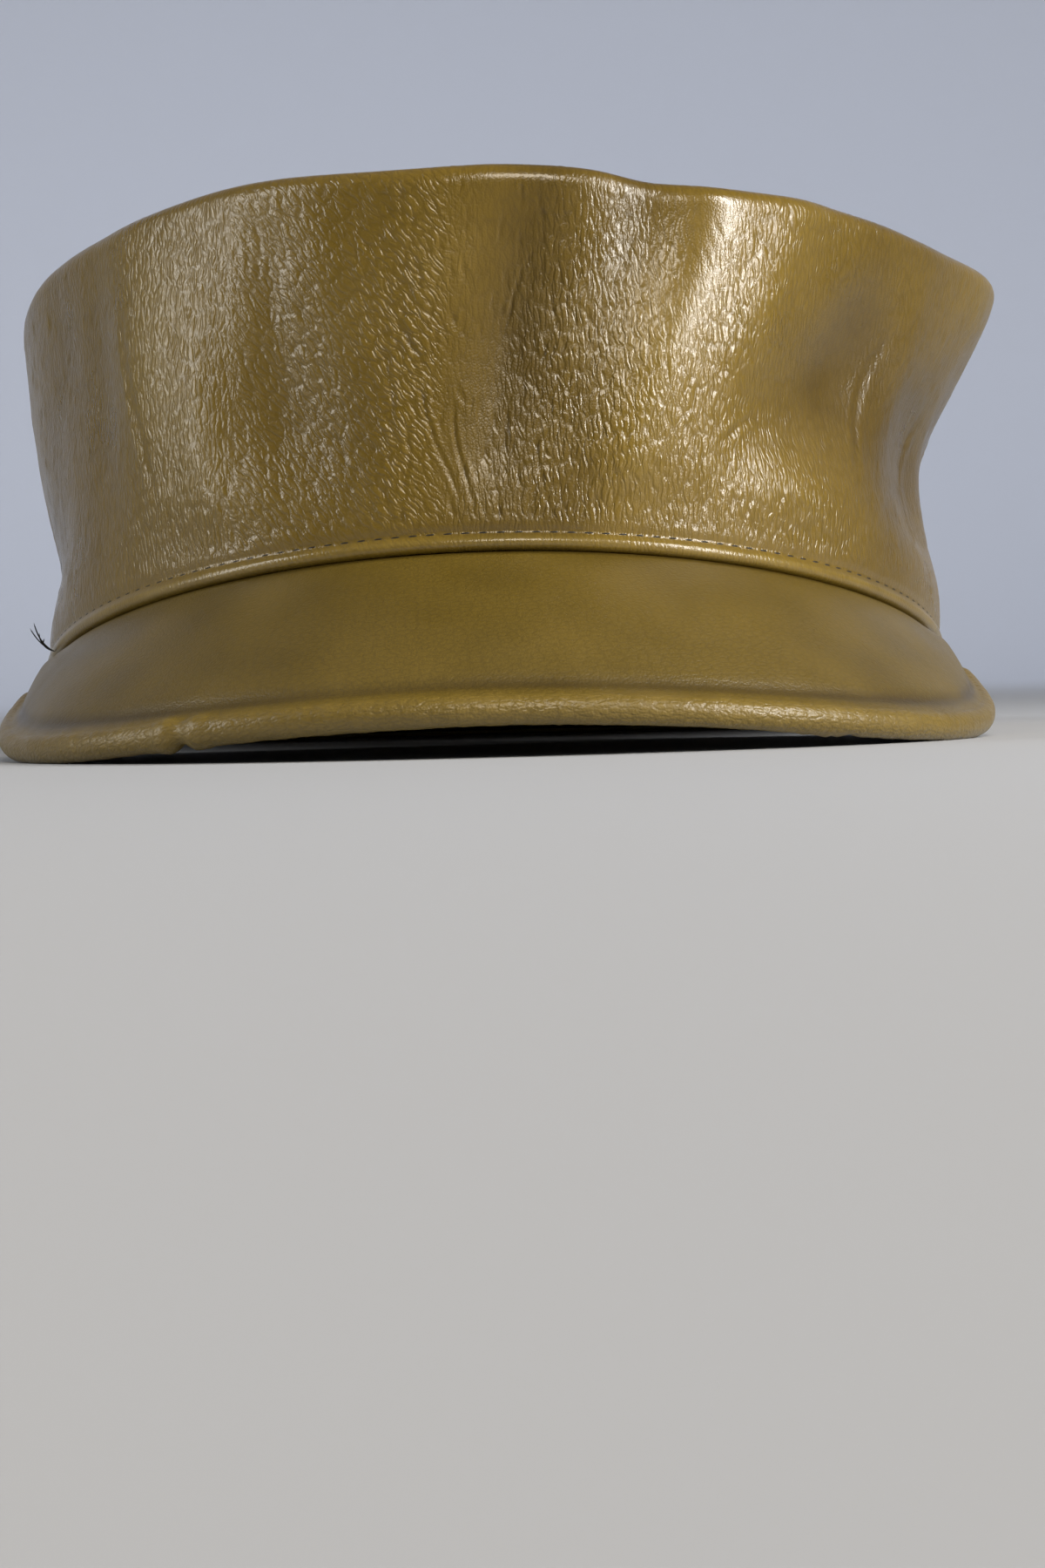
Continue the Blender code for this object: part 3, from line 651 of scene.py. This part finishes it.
def buildCrownTop():
    s, f = crownTopForm, capForm
    turn = np.linspace(-math.pi, math.pi, s["columns"] + 1)[:-1]
    edge = edgeHeight(turn)
    centre = np.array([f["topShiftSideways"], f["topShiftBack"], f["crownHeight"]])

    # From the seam up over a small rounded edge, then in to the middle, where it is level.
    past, dip = np.array(s["lipSteps"]).T[:, :, None]
    lip = wallPoint(turn, edge, f["shoulder"] + past)
    lip[..., 2] -= dip
    inwards = (np.linspace(0.0, 1.0, s["rings"])[1:] ** 1.15)[:, None]
    share = 1.0 - inwards
    rest = lip[-1] + (centre - lip[-1]) * inwards[..., None]
    rest[..., 2] = centre[2] + (lip[-1, :, 2] - centre[2]) * ease(share)
    dents = np.zeros(rest.shape[:2])
    for sideways, back, reach, depth in s["dents"]:
        dents += depth * bell(np.hypot(share * np.sin(turn) - sideways, -share * np.cos(turn) - back), reach)
    rest[..., 2] -= ease(inwards / 0.5) * s["sag"] * (1.0 + dents)

    # Slack: slow noise in the middle. Puckers: short ridges that point at the middle and die out about
    # 14 mm in from the seam.
    x, y = rest[..., 0], rest[..., 1]
    fromEdge = inwards * s["halfWidth"]
    puckers = ridgeNoise(turn / math.tau * 100.0 + 200.0, fromEdge / 14.0, 21, 100) ** 2
    slack = gridNoise(x / 17.0 + 40, y / 23.0 + 40, 22) - 0.5
    slack += 0.5 * (gridNoise(x / 8.0 + 40, y / 10.0 + 40, 23) - 0.5)
    relief = s["pucker"] * (puckers - 0.3) * bell(fromEdge, s["puckerReach"]) * ease(fromEdge / 1.5)
    relief += s["slackDepth"] * slack * ease(fromEdge / 12.0) * ease(share / 0.22)
    rest[..., 2] += relief

    # The underside, plain, and the edge in the seam.
    top = np.concatenate([lip, rest])
    under = top[::-1][::s["underEvery"]].copy()
    under[..., 2] -= f["leather"]
    underEdge = lip[:1].copy()
    underEdge[..., 2] -= s["underDip"]
    point = np.concatenate([top, under, underEdge])
    grainMap = np.concatenate([point, point[:1]])[..., :2]
    grainMap = np.concatenate([grainMap, grainMap[:, :1]], axis=1) + 200.0

    # Colour: darker on the underside, as painted shade; the lip a little darker at the seam; the middle
    # lighter on the slack's rises and darker in its hollows and dents, as painted light and painted shade.
    toneAndShading = np.full(point.shape[:2], 0.2)
    toneAndShading[:len(lip)] = 0.35
    toneAndShading[len(lip):len(top)] = 0.50 + 0.5 * relief - 0.06 * dents
    wornAndSheen = np.zeros_like(toneAndShading)
    wornAndSheen[2:14] = 0.15 * bell(np.arange(12) - 4.0, 4.0)[:, None]  # the rounded edge, rubbed
    finish = hide("olive_top_leather", s["look"])
    piece = gridPiece("crown_top_panel", setDown(point, turn, 0.0), grainMap, finish, True,
                      {"toneAndShading": toneAndShading, "wornAndSheen": wornAndSheen, "grained": 0.75})
    print("crown top:", len(piece.data.polygons), "faces")
    return settle(piece, "top_leather", "crown_top")


# Peak: a stiff board wrapped in smoother leather, which is rolled under along the edge. A noise is given
# by the length and width of its cells and its height.
peakForm = {
    "length": 45.0, "tipLength": 13.5, "curvePower": 3.4, "halfSpan": 75.0, "droop": 45.2, "tipDroop": 52.0,
    "forwardTurn": 0.91, "board": 3.2, "bow": 1.2, "roll": 2.5, "flangeThickness": 1.2, "flangeFade": 0.8,
    "rollJoin": 2.6, "gap": 0.3, "stations": 560, "topRows": 46, "rollRows": 30, "rollTurn": 140.0,
    "tipSteps": [(0.25, 0.985), (0.5, 0.93), (0.75, 0.78), (0.9, 0.55), (1.0, 0.0)],  # how far out, size
    "waves": (24.0, 16.0, 0.22), "ripples": (3.5, 2.2, 0.05), "groove": 0.42,
    # On the peak the rubbed colour is the painted highlight of the roll.
    "look": {"valley": "44350a", "middle": "645217", "ridge": "7a6524", "rubbedAndSheen": "8f7833",
             "crease": (1.3, 0.8), "slants": (8.0,), "grainDepth": 0.045, "pore": 0.40, "poreDepth": 0.05,
             "blotch": 18.0, "blotchiness": 0.40, "roughness": 0.40, "coat": 0.25, "coatRoughness": 0.26},
}

# Marks of the roll: a pinch with a low hump on each side, a raw lump with a cut at its end, and a slit
# with a lip near the right tip. Each has its angle, half width in degrees, and depth or height.
rollMarks = {
    "pinch": (-27.5, 0.8, 0.95), "humps": [(-29.2, 1.2, 0.50), (-25.8, 1.1, 0.40)],
    "lump": (29.0, 2.6, 0.55), "cut": (32.2, 0.7, 0.5),
    "slit": (68.0, 0.45, 1.25), "slitLip": (70.0, 1.2, 0.45), "slitSlant": 1.6,
}


# How far along the peak's half an angle is, from 0 at the front to 1 at the tip.
def peakShare(turn):
    return np.clip(np.abs(np.degrees(turn)) / peakForm["halfSpan"], 0.0, 1.0)


# Length of the peak at an angle: full at the front, shorter towards the tips as a power of the share.
def peakLength(turn):
    p = peakForm
    return p["length"] - (p["length"] - p["tipLength"]) * peakShare(turn) ** p["curvePower"]


# Where the peak starts at an angle, the way it runs down and out, the way its top faces, and its droop.
def peakAxes(turn):
    p, f = peakForm, capForm
    droop = np.radians(p["droop"] + (p["tipDroop"] - p["droop"]) * peakShare(turn) ** 2)
    level = outwardAt(turn) * np.array([p["forwardTurn"], 1.0, 0.0])
    level = level / np.linalg.norm(level, axis=-1, keepdims=True)
    root = oval(turn, f["rimHalfWidth"], f["rimHalfLength"], f["rimEgg"]) - up * p["gap"]
    along = level * np.cos(droop)[..., None] - up * np.sin(droop)[..., None]
    above = level * np.sin(droop)[..., None] + up * np.cos(droop)[..., None]
    return root, along, above, droop


# Radius of the roll at an angle round its section: it swells slowly, has wrinkles along and across, and
# carries the marks, some of them only on its lower side.
def rollRadius(degrees, arc, at, step):
    m = rollMarks
    slow = gridNoise(arc / 14.0 + 40, 0.0, 44) - 0.5
    wrinkle = ridgeNoise(arc / 1.9 + 200, 0.0, 43)
    across = ridgeNoise(arc / 1.7 + 200 + 0.6 * math.sin(at), at * 1.1 + 4, 45)
    radius = peakForm["roll"] * (1.0 + 0.06 * slow) + 0.07 * (wrinkle ** 3 - 0.3) + 0.08 * (across ** 3 - 0.3)
    place, width, depth = m["pinch"]
    radius -= depth * bell(degrees - place, width) * (0.35 + 0.65 * ease((1.2 - at) / 2.0))
    for place, width, height in m["humps"]:
        radius += height * bell(degrees - place, width)
    lower = ease(-at / 1.2)
    place, width, height = m["lump"]
    lumpy = 0.6 + 0.8 * (gridNoise(arc / 1.3 + 40, step / 4.0, 46) - 0.5)
    radius += height * lower * bell(degrees - place, width) * lumpy
    place, width, depth = m["cut"]
    radius -= depth * lower * bell(degrees - place, width)
    opened = ease((0.9 - at) / 1.2)
    for (place, width, height), sign in ((m["slit"], -1.0), (m["slitLip"], 1.0)):
        radius += sign * height * bell(degrees - place - m["slitSlant"] * at, width) * opened
    return radius


def buildPeak():
    p, f = peakForm, capForm
    span = math.radians(p["halfSpan"])
    tipAngle = p["roll"] / f["rimHalfLength"]
    pastTip, tipSize = np.array(p["tipSteps"]).T
    middleTurns = np.linspace(-span, span, p["stations"] + 1)
    turn = np.concatenate([-(span + pastTip[::-1] * tipAngle), middleTurns, span + pastTip * tipAngle])
    size = np.concatenate([tipSize[::-1], np.ones(len(middleTurns)), tipSize])
    degrees = np.degrees(turn)
    arc = roundRim(degrees)
    root, along, above, droop = peakAxes(turn)
    length = peakLength(turn)
    flat = length - p["rollJoin"] * p["roll"]
    near = f["leather"] + f["hemBulge"] + p["gap"]
    far = near + p["flangeThickness"]
    fade = ease((peakShare(turn) - p["flangeFade"]) / (1.0 - p["flangeFade"]))
    flange = f["flangeHeight"] * (1.0 - fade) - p["gap"] * fade
    corner = np.minimum(-p["gap"], (far * np.sin(droop) - p["board"]) / np.cos(droop))
    outwards = outwardAt(turn)
    rows = []  # each has its points, its distance along the section for the grain, and its part

    def addRow(point, run, part):
        rows.append((point, run + 0.0 * turn, part))

    def onSlope(run, height):
        return root + along * run[:, None] + above * (height + 0.0 * run)[:, None]

    held = hemOffset(flange)
    addRow(wallPoint(turn, flange, near + held), -flange - 3.0, "flange")
    addRow(root - outwards * (near * (1.0 - 0.4 * fade))[:, None], -2.0, "flange")
    addRow(root, 0.0, "flange")

    # The top face: bowed as a half sine, with slow waves and ripples, and a soft groove behind the roll.
    topShares = np.linspace(0.03, 1.0, p["topRows"])
    for share in topShares:
        run = share * flat
        swell = 0.0
        for (cellLength, cellWidth, depth), seed in ((p["waves"], 41), (p["ripples"], 42)):
            swell = swell + depth * (gridNoise(arc / cellLength + 40, run / cellWidth, seed) - 0.5)
        bowed = p["bow"] * math.sin(math.pi * share) - p["groove"] * bell(share - 0.97, 0.04)
        addRow(onSlope(run, bowed + swell * ease(share / 0.1)), run, "top")

    lastTurn = math.radians(p["rollTurn"])
    for step in range(p["rollRows"]):
        at = lastTurn * (1.0 - 2.0 * step / (p["rollRows"] - 1))
        radius = rollRadius(degrees, arc, at, step)
        point = onSlope(length - p["roll"] + radius * math.cos(at), radius * math.sin(at) - 0.5 * p["board"])
        addRow(point, flat + p["roll"] * (1.0 + lastTurn - at), "roll")

    for share in topShares[::-3]:
        under = p["bow"] * math.sin(math.pi * share) - p["board"]
        addRow(onSlope(share * flat, under), 2.0 * flat + 16.0 - share * flat, "under")
    addRow(root - outwards * far + up * corner[:, None], 2.0 * flat + 20.0, "under")
    addRow(wallPoint(turn, flange, far + held), 2.0 * flat + 24.0, "under")

    point, run, part = (np.stack(column) for column in zip(*rows))
    point = setDown(drawnIn(point, size), turn, 1.0)
    runMap = np.concatenate([run, run[-1:] + 3.0]) + 20.0
    grainMap = np.stack([arc + 0.0 * runMap, runMap], axis=-1)

    # Painted shade in the groove behind the roll, a golden painted highlight on the roll with streaks of it
    # in the rubbed colour, and painted shade, dark, on the underside and the flange, where it doesn't show.
    top, roll, under, hidden = (part[:, None] == name for name in ("top", "roll", "under", "flange"))
    toneAndShading = 0.55 + 0.25 * (gridNoise(arc / 11.0 + 40, run / 9.0 + 20, 48) - 0.5)
    toneAndShading = toneAndShading - 0.40 * top * bell(run - flat + 0.8, 1.6) + 0.25 * roll
    toneAndShading = np.where(hidden, 0.10, np.where(under, 0.12, toneAndShading))
    # Painted highlight: streaks along the top of the roll take the rubbed colour.
    streak = gridNoise(arc / 2.2 + 200, 0.0, 47)
    wornAndSheen = roll * (0.26 + 0.30 * (streak - 0.4)) * bell(run - flat - 0.9 * p["roll"], 5.5)
    piece = gridPiece("peak_cover", point, grainMap, hide("olive_peak_leather", p["look"]), False,
                      {"toneAndShading": toneAndShading, "wornAndSheen": np.clip(wornAndSheen, 0, 1), "grained": 0.35 + 0.65 * roll})
    print("peak:", len(piece.data.polygons), "faces")
    return settle(piece, "peak_leather", "peak")


# Facing under the peak: thin darker leather, flesh side hidden, stops short of the roll and the tips.
facingForm = {
    "tipShare": 1.0 / 11.0, "thickness": 1.0, "gap": 0.3, "stations": 300,
    "start": 0.10, "end": 0.93, "rows": 26, "waves": (6.0, 5.0, 0.12), "slack": 0.15,
    "look": {"valley": "2c2413", "middle": "3b3019", "ridge": "4a3d22", "rubbedAndSheen": "5c4d2d",
             "crease": (1.3, 1.3), "roughness": 0.55, "coat": 0.05, "coatRoughness": 0.4},
}


# Two sheets a thickness apart that follow the board's underside, and the lower one hangs a little slack.
def buildFacing():
    s, p = facingForm, peakForm
    span = math.radians(p["halfSpan"]) * (1.0 - s["tipShare"])
    turn = np.linspace(-span, span, s["stations"] + 1)
    root, along, above = peakAxes(turn)[:3]
    flat = peakLength(turn) - p["rollJoin"] * p["roll"]
    arc = roundRim(np.degrees(turn))
    shares = np.linspace(s["start"], s["end"], s["rows"])
    cellLength, cellWidth, depth = s["waves"]
    rows, runs = [], []
    for lower, order in ((False, shares), (True, shares[::-1])):
        for share in order:
            run = share * flat
            height = p["bow"] * math.sin(math.pi * share) - p["board"] - s["gap"] + 0.0 * run
            if lower:
                soft = depth * (gridNoise(arc / cellLength + 40, run / cellWidth, 51) - 0.5) - s["slack"]
                height = height - s["thickness"] - soft * math.sin(math.pi * share)
            rows.append(root + along * run[:, None] + above * height[:, None])
            runs.append(90.0 - run if lower else run)
    size = np.ones(len(turn))
    size[[0, -1]] = 0.0
    point = setDown(drawnIn(np.stack(rows), size), turn, 1.0)
    runMap = np.stack(runs + [runs[-1] + 1.0]) + 20.0
    grainMap = np.stack([arc + 0.0 * runMap, runMap], axis=-1)
    finish = hide("dark_facing_leather", s["look"])
    piece = gridPiece("peak_facing_leather", point, grainMap, finish, False,
                      {"toneAndShading": 0.5, "wornAndSheen": 0.0, "grained": 0.8})
    print("facing:", len(piece.data.polygons), "faces")
    return settle(piece, "facing_leather", "peak_facing")


# Sweatband: thin matt black leather inside the rim.
bandForm = {
    "height": 30.0, "thickness": 1.0, "lift": 1.2, "columns": 520, "rows": 26, "gap": 0.3,
    "endTurns": (30.0, 90.0, 150.0), "pastTip": 6.0, "blend": 18.0, "ripple": (70, 12, 0.16), "rowMap": 1.25,
    "look": {"valley": "0d0b0a", "middle": "151210", "ridge": "211c19", "rubbedAndSheen": "2d2723",
             "pore": 0.5, "roughness": 0.62, "coat": 0.0, "coatRoughness": 0.4},
}


# How far in the band lies: the wall and a gap, and the peak's flange and another gap where that is.
def bandInset(turn):
    p, f, b = peakForm, capForm, bandForm
    pastTip = np.abs(wrapped(np.degrees(turn))) - p["halfSpan"] - b["pastTip"]
    flangeHere = 1.0 - ease(pastTip / b["blend"])
    return f["leather"] + f["hemBulge"] + b["gap"] + (p["flangeThickness"] + b["gap"]) * flangeHere


# A strip that follows the wall's face at its inset, with rounded edges and a slight ripple inside.
def buildSweatband():
    s = bandForm
    turnAll = np.linspace(-math.pi, math.pi, s["columns"] + 1)
    turn = turnAll[:-1]
    half = 0.5 * s["thickness"]
    climb = np.linspace(s["lift"] + half, s["height"] - half, s["rows"])[:, None]
    ends = np.radians(np.array(s["endTurns"]))[:, None]

    def band(height, inside):
        return wallPoint(turn, height, bandInset(turn) + inside + hemOffset(height))

    cells, cellHeight, depth = s["ripple"]
    ripple = depth * (ringNoise(np.degrees(turn), cells, climb / cellHeight, 61) - 0.5)
    outer = band(climb, 0.0)
    topEnd = band(s["height"] - half + half * np.sin(ends), half - half * np.cos(ends))
    inner = band(climb[::-1], s["thickness"]) + outwardAt(turn) * ripple[::-1][..., None]
    lowEnd = band(s["lift"] + half - half * np.sin(ends), half + half * np.cos(ends))
    point = np.concatenate([outer, topEnd, inner, lowEnd])
    height = point[..., 2].copy()
    point = setDown(point, turn, sagShareAt(height))
    distance = np.arange(len(point) + 1)[:, None] * s["rowMap"] + 0.0 * turnAll
    grainMap = np.stack([roundRim(np.degrees(turnAll)) + 0.0 * distance, distance], axis=-1)
    finish = hide("black_sweatband_leather", s["look"])
    piece = gridPiece("sweatband_strip", point, grainMap, finish, True,
                      {"toneAndShading": 0.5, "wornAndSheen": 0.5 * bell(height - s["height"], 1.5), "grained": 0.8})
    print("sweatband:", len(piece.data.polygons), "faces")
    return settle(piece, "band_leather", "sweatband")


# Waxed polyester thread: dark and nearly matt, with a fine bump for its twist.
threadLook = {"roughness": 0.6, "twist": 0.385, "twistDepth": 0.05}


# One colour of thread. The twist is a noise of its own size in millimetres.
def threadFinish(name, code):
    material, tree, shader = newMaterial(name)
    place = addNode(tree, "ShaderNodeTexCoord").outputs["Object"]
    size = threadLook["twist"] * mm
    twist = addNode(tree, "ShaderNodeTexNoise", {},
                    {"Vector": place, "Scale": 1.0 / size, "Detail": 2.0}).outputs["Fac"]
    bump = addNode(tree, "ShaderNodeBump", {},
                   {"Height": twist, "Distance": threadLook["twistDepth"] * mm}).outputs["Normal"]
    tree.links.new(bump, shader.inputs["Normal"])
    shader.inputs["Base Color"].default_value = linearColour(code)
    shader.inputs["Roughness"].default_value = threadLook["roughness"]
    return material


# A tube along each of many short paths at once. Each path is a row of points, and the tube shrinks to
# nothing at its ends.
def threadTubes(name, paths, radius, finish, sides=6):
    count, steps = paths.shape[:2]
    along = np.gradient(paths, axis=1)
    along /= np.linalg.norm(along, axis=-1, keepdims=True)
    side = np.cross(along, np.array([0.13, 0.24, 0.96]))  # any direction that no path runs in
    side /= np.linalg.norm(side, axis=-1, keepdims=True)
    third = np.cross(along, side)
    turn = np.arange(sides) / sides * math.tau
    t = np.linspace(-1.0, 1.0, steps)
    swell = radius * np.sqrt(np.clip(1.0 - np.abs(t) ** 6, 0.0, 1.0))
    ring = side[:, :, None] * np.cos(turn)[:, None] + third[:, :, None] * np.sin(turn)[:, None]
    point = paths[:, :, None] + ring * swell[None, :, None, None]
    n, i, j = np.meshgrid(np.arange(count), np.arange(steps - 1), np.arange(sides), indexing="ij")
    n, i, j = n.ravel(), i.ravel(), j.ravel()
    jNext = (j + 1) % sides
    at = (n * steps + i) * sides
    corners = np.stack([at + j, at + jNext, at + sides + jNext, at + sides + j], axis=1)
    mesh = bpy.data.meshes.new(name)
    mesh.from_pydata((point.reshape(-1, 3) * mm).tolist(), [], corners.tolist())
    mesh.shade_smooth()
    return finishMesh(name, mesh, finish)


# The row of stitches that holds the folded hem. Each dives into the leather at both ends.
hemStitches = {"count": 166, "height": 3.05, "rise": 0.05, "length": 2.1, "radius": 0.22, "sink": 0.08,
               "dive": 0.22, "lowest": 0.3, "colour": "1f190c"}


def buildHemStitches():
    s = hemStitches
    middle = (np.arange(s["count"]) + 0.5) / s["count"] * math.tau - math.pi
    t = np.linspace(-1.0, 1.0, 7)
    turn = middle[:, None] + t * 0.5 * s["length"] / capForm["rimRound"] * math.tau
    height = s["height"] + s["rise"] * t + 0.0 * turn
    path = setDown(wallPoint(turn, height, s["sink"] + s["dive"] * t ** 4), turn, sagShareAt(height))
    path[..., 2] = np.maximum(path[..., 2], s["lowest"])
    piece = threadTubes("hem_stitch_row", path, s["radius"], threadFinish("dark_olive_thread", s["colour"]))
    print("hem stitches:", s["count"])
    return settle(piece, "side_leather")


# Loose ends of thread at the left tip of the peak: how far each goes sideways, forwards and up.
looseEnds = {"angle": -76.0, "height": 0.6, "inset": -0.2, "radius": 0.13, "out": 3.2, "bendOut": 3.0,
             "ends": [(-4.0, 3.0, 5.5), (-1.5, 1.0, 6.5), (1.5, -1.0, 4.5), (3.0, 2.0, 3.5)],
             "colour": "0b0a09"}


# Each end is a curve of the second degree from the hem over a bend to its tip.
def buildLooseEnds():
    s = looseEnds
    turn = np.array([math.radians(s["angle"])])
    start = setDown(wallPoint(turn, s["height"], s["inset"]), turn, 1.0)[0]
    out = outwardAt(turn)[0]
    t = np.linspace(0.0, 1.0, 12)[:, None]
    paths = []
    for sideways, forwards, rise in s["ends"]:
        first = start + np.array([0.0, 0.4 * sideways, 0.0])
        bend = start + out * s["bendOut"] + np.array([0.0, 0.3 * forwards, 0.2 * rise])
        tip = start + out * s["out"] + np.array([0.4 * sideways, forwards - 1.5, rise - 1.0])
        paths.append((1 - t) ** 2 * first + 2 * t * (1 - t) * bend + t ** 2 * tip)
    finish = threadFinish("black_thread", s["colour"])
    piece = threadTubes("loose_thread_ends", np.array(paths), s["radius"], finish)
    print("loose thread ends:", len(paths))
    return settle(piece, "side_leather")


# The table and the backdrop in one pale sweep, softboxes on both sides, and a dim pale room. In metres.
studio = {
    "sweep": "bcc0c8", "room": "b8b8b8", "roomStrength": 0.38,
    "floorRadius": 1.55, "bend": 0.55, "bendRows": 19, "wallHeight": 2.6, "columns": 96,
    "boxes": [
        # name, place, aimed at, size, watts, colour, spread in degrees
        ("strip_right", (0.97, -0.42, 0.50), (0.03, -0.02, 0.05), (0.11, 0.80), 4.5, "fffaf2", 100.0),
        ("strip_left", (-1.08, -0.12, 0.48), (-0.03, -0.02, 0.05), (0.16, 0.80), 4.2, "fffcf4", 180.0),
        ("front_high", (0.22, -1.15, 0.82), (0.0, -0.05, 0.05), (0.50, 0.30), 7.8, "fff3df", 180.0),
        ("backdrop_lamp", (0.00, 0.80, 1.70), (0.0, 1.80, 0.50), (1.80, 0.50), 8.4, "f2f5ff", 100.0),
    ],
}


# The sweep is round, so that it stands behind the cap from every side: a flat floor, a quarter circle
# and a wall, turned about the upright axis.
def buildSweep():
    s = studio
    arc = np.radians(np.linspace(0.0, 90.0, s["bendRows"]))
    farthest = s["floorRadius"] + s["bend"]
    reach = np.concatenate([[0.0], s["floorRadius"] + s["bend"] * np.sin(arc), [farthest]])
    z = np.concatenate([[0.0], s["bend"] * (1.0 - np.cos(arc)), [s["wallHeight"]]])
    reach, z, columns = reach[:, None], z[:, None], s["columns"]
    turn = np.linspace(0.0, math.tau, columns + 1)[:-1]
    point = np.stack(np.broadcast_arrays(reach * np.cos(turn), reach * np.sin(turn), z), axis=-1)
    i, j = np.meshgrid(np.arange(len(z) - 1) * columns, np.arange(columns), indexing="ij")
    jNext = (j + 1) % columns
    faces = np.stack([i + j, i + jNext, i + columns + jNext, i + columns + j], axis=-1)
    mesh = bpy.data.meshes.new("studio_sweep")
    mesh.from_pydata(point.reshape(-1, 3).tolist(), [], faces.reshape(-1, 4).tolist())
    mesh.shade_smooth()
    paper, _, shader = newMaterial("pale_matt_paper")
    shader.inputs["Base Color"].default_value = linearColour(s["sweep"])
    shader.inputs["Roughness"].default_value = 0.9
    mesh.materials.append(paper)
    sweep = placed("studio_sweep", mesh)


def buildLights():
    s = studio
    for name, place, aim, size, watts, tint, spread in s["boxes"]:
        light = bpy.data.lights.new(name, "AREA")
        light.shape, light.size, light.size_y = "RECTANGLE", size[0], size[1]
        light.energy, light.color, light.spread = watts, linearColour(tint)[:3], math.radians(spread)
        holder = placed(name, light)
        holder.location = place
        holder.rotation_mode = "QUATERNION"
        holder.rotation_quaternion = (Vector(aim) - Vector(place)).to_track_quat("-Z", "Y")
    world = bpy.data.worlds.new("pale_room")
    bpy.context.scene.world = world
    world.use_nodes = True
    room = world.node_tree.nodes["Background"]
    room.inputs["Color"].default_value = linearColour(s["room"])
    room.inputs["Strength"].default_value = s["roomStrength"]


# The camera stands in front of the cap, just above the table. In millimetres and degrees.
cameraPlace = {"distance": 740.0, "sideways": -3.0, "height": 14.0, "pitch": -1.7, "yaw": -0.3, "roll": -1.5,
               "lens": 89.0, "sensor": 36.0}


def buildCamera():
    c = cameraPlace
    data = bpy.data.cameras.new("front_camera")
    data.lens, data.sensor_width = c["lens"], c["sensor"]
    data.clip_start, data.clip_end = 0.01, 20.0
    camera = placed("front_camera", data)
    yaw = Matrix.Rotation(math.radians(c["yaw"]), 4, "Z")
    pitch = Matrix.Rotation(math.radians(90.0 + c["pitch"]), 4, "X")
    roll = Matrix.Rotation(math.radians(c["roll"]), 4, "Z")
    place = Matrix.Translation(Vector((c["sideways"], -c["distance"], c["height"])) * mm)
    camera.matrix_world = place @ yaw @ pitch @ roll
    bpy.context.scene.camera = camera
    bpy.context.scene.view_settings.view_transform = "Standard"


buildCrownWall()
buildCrownTop()
buildPeak()
buildFacing()
buildSweatband()
buildHemStitches()
buildLooseEnds()
buildSweep()
buildLights()
buildCamera()
print("studio and camera done")
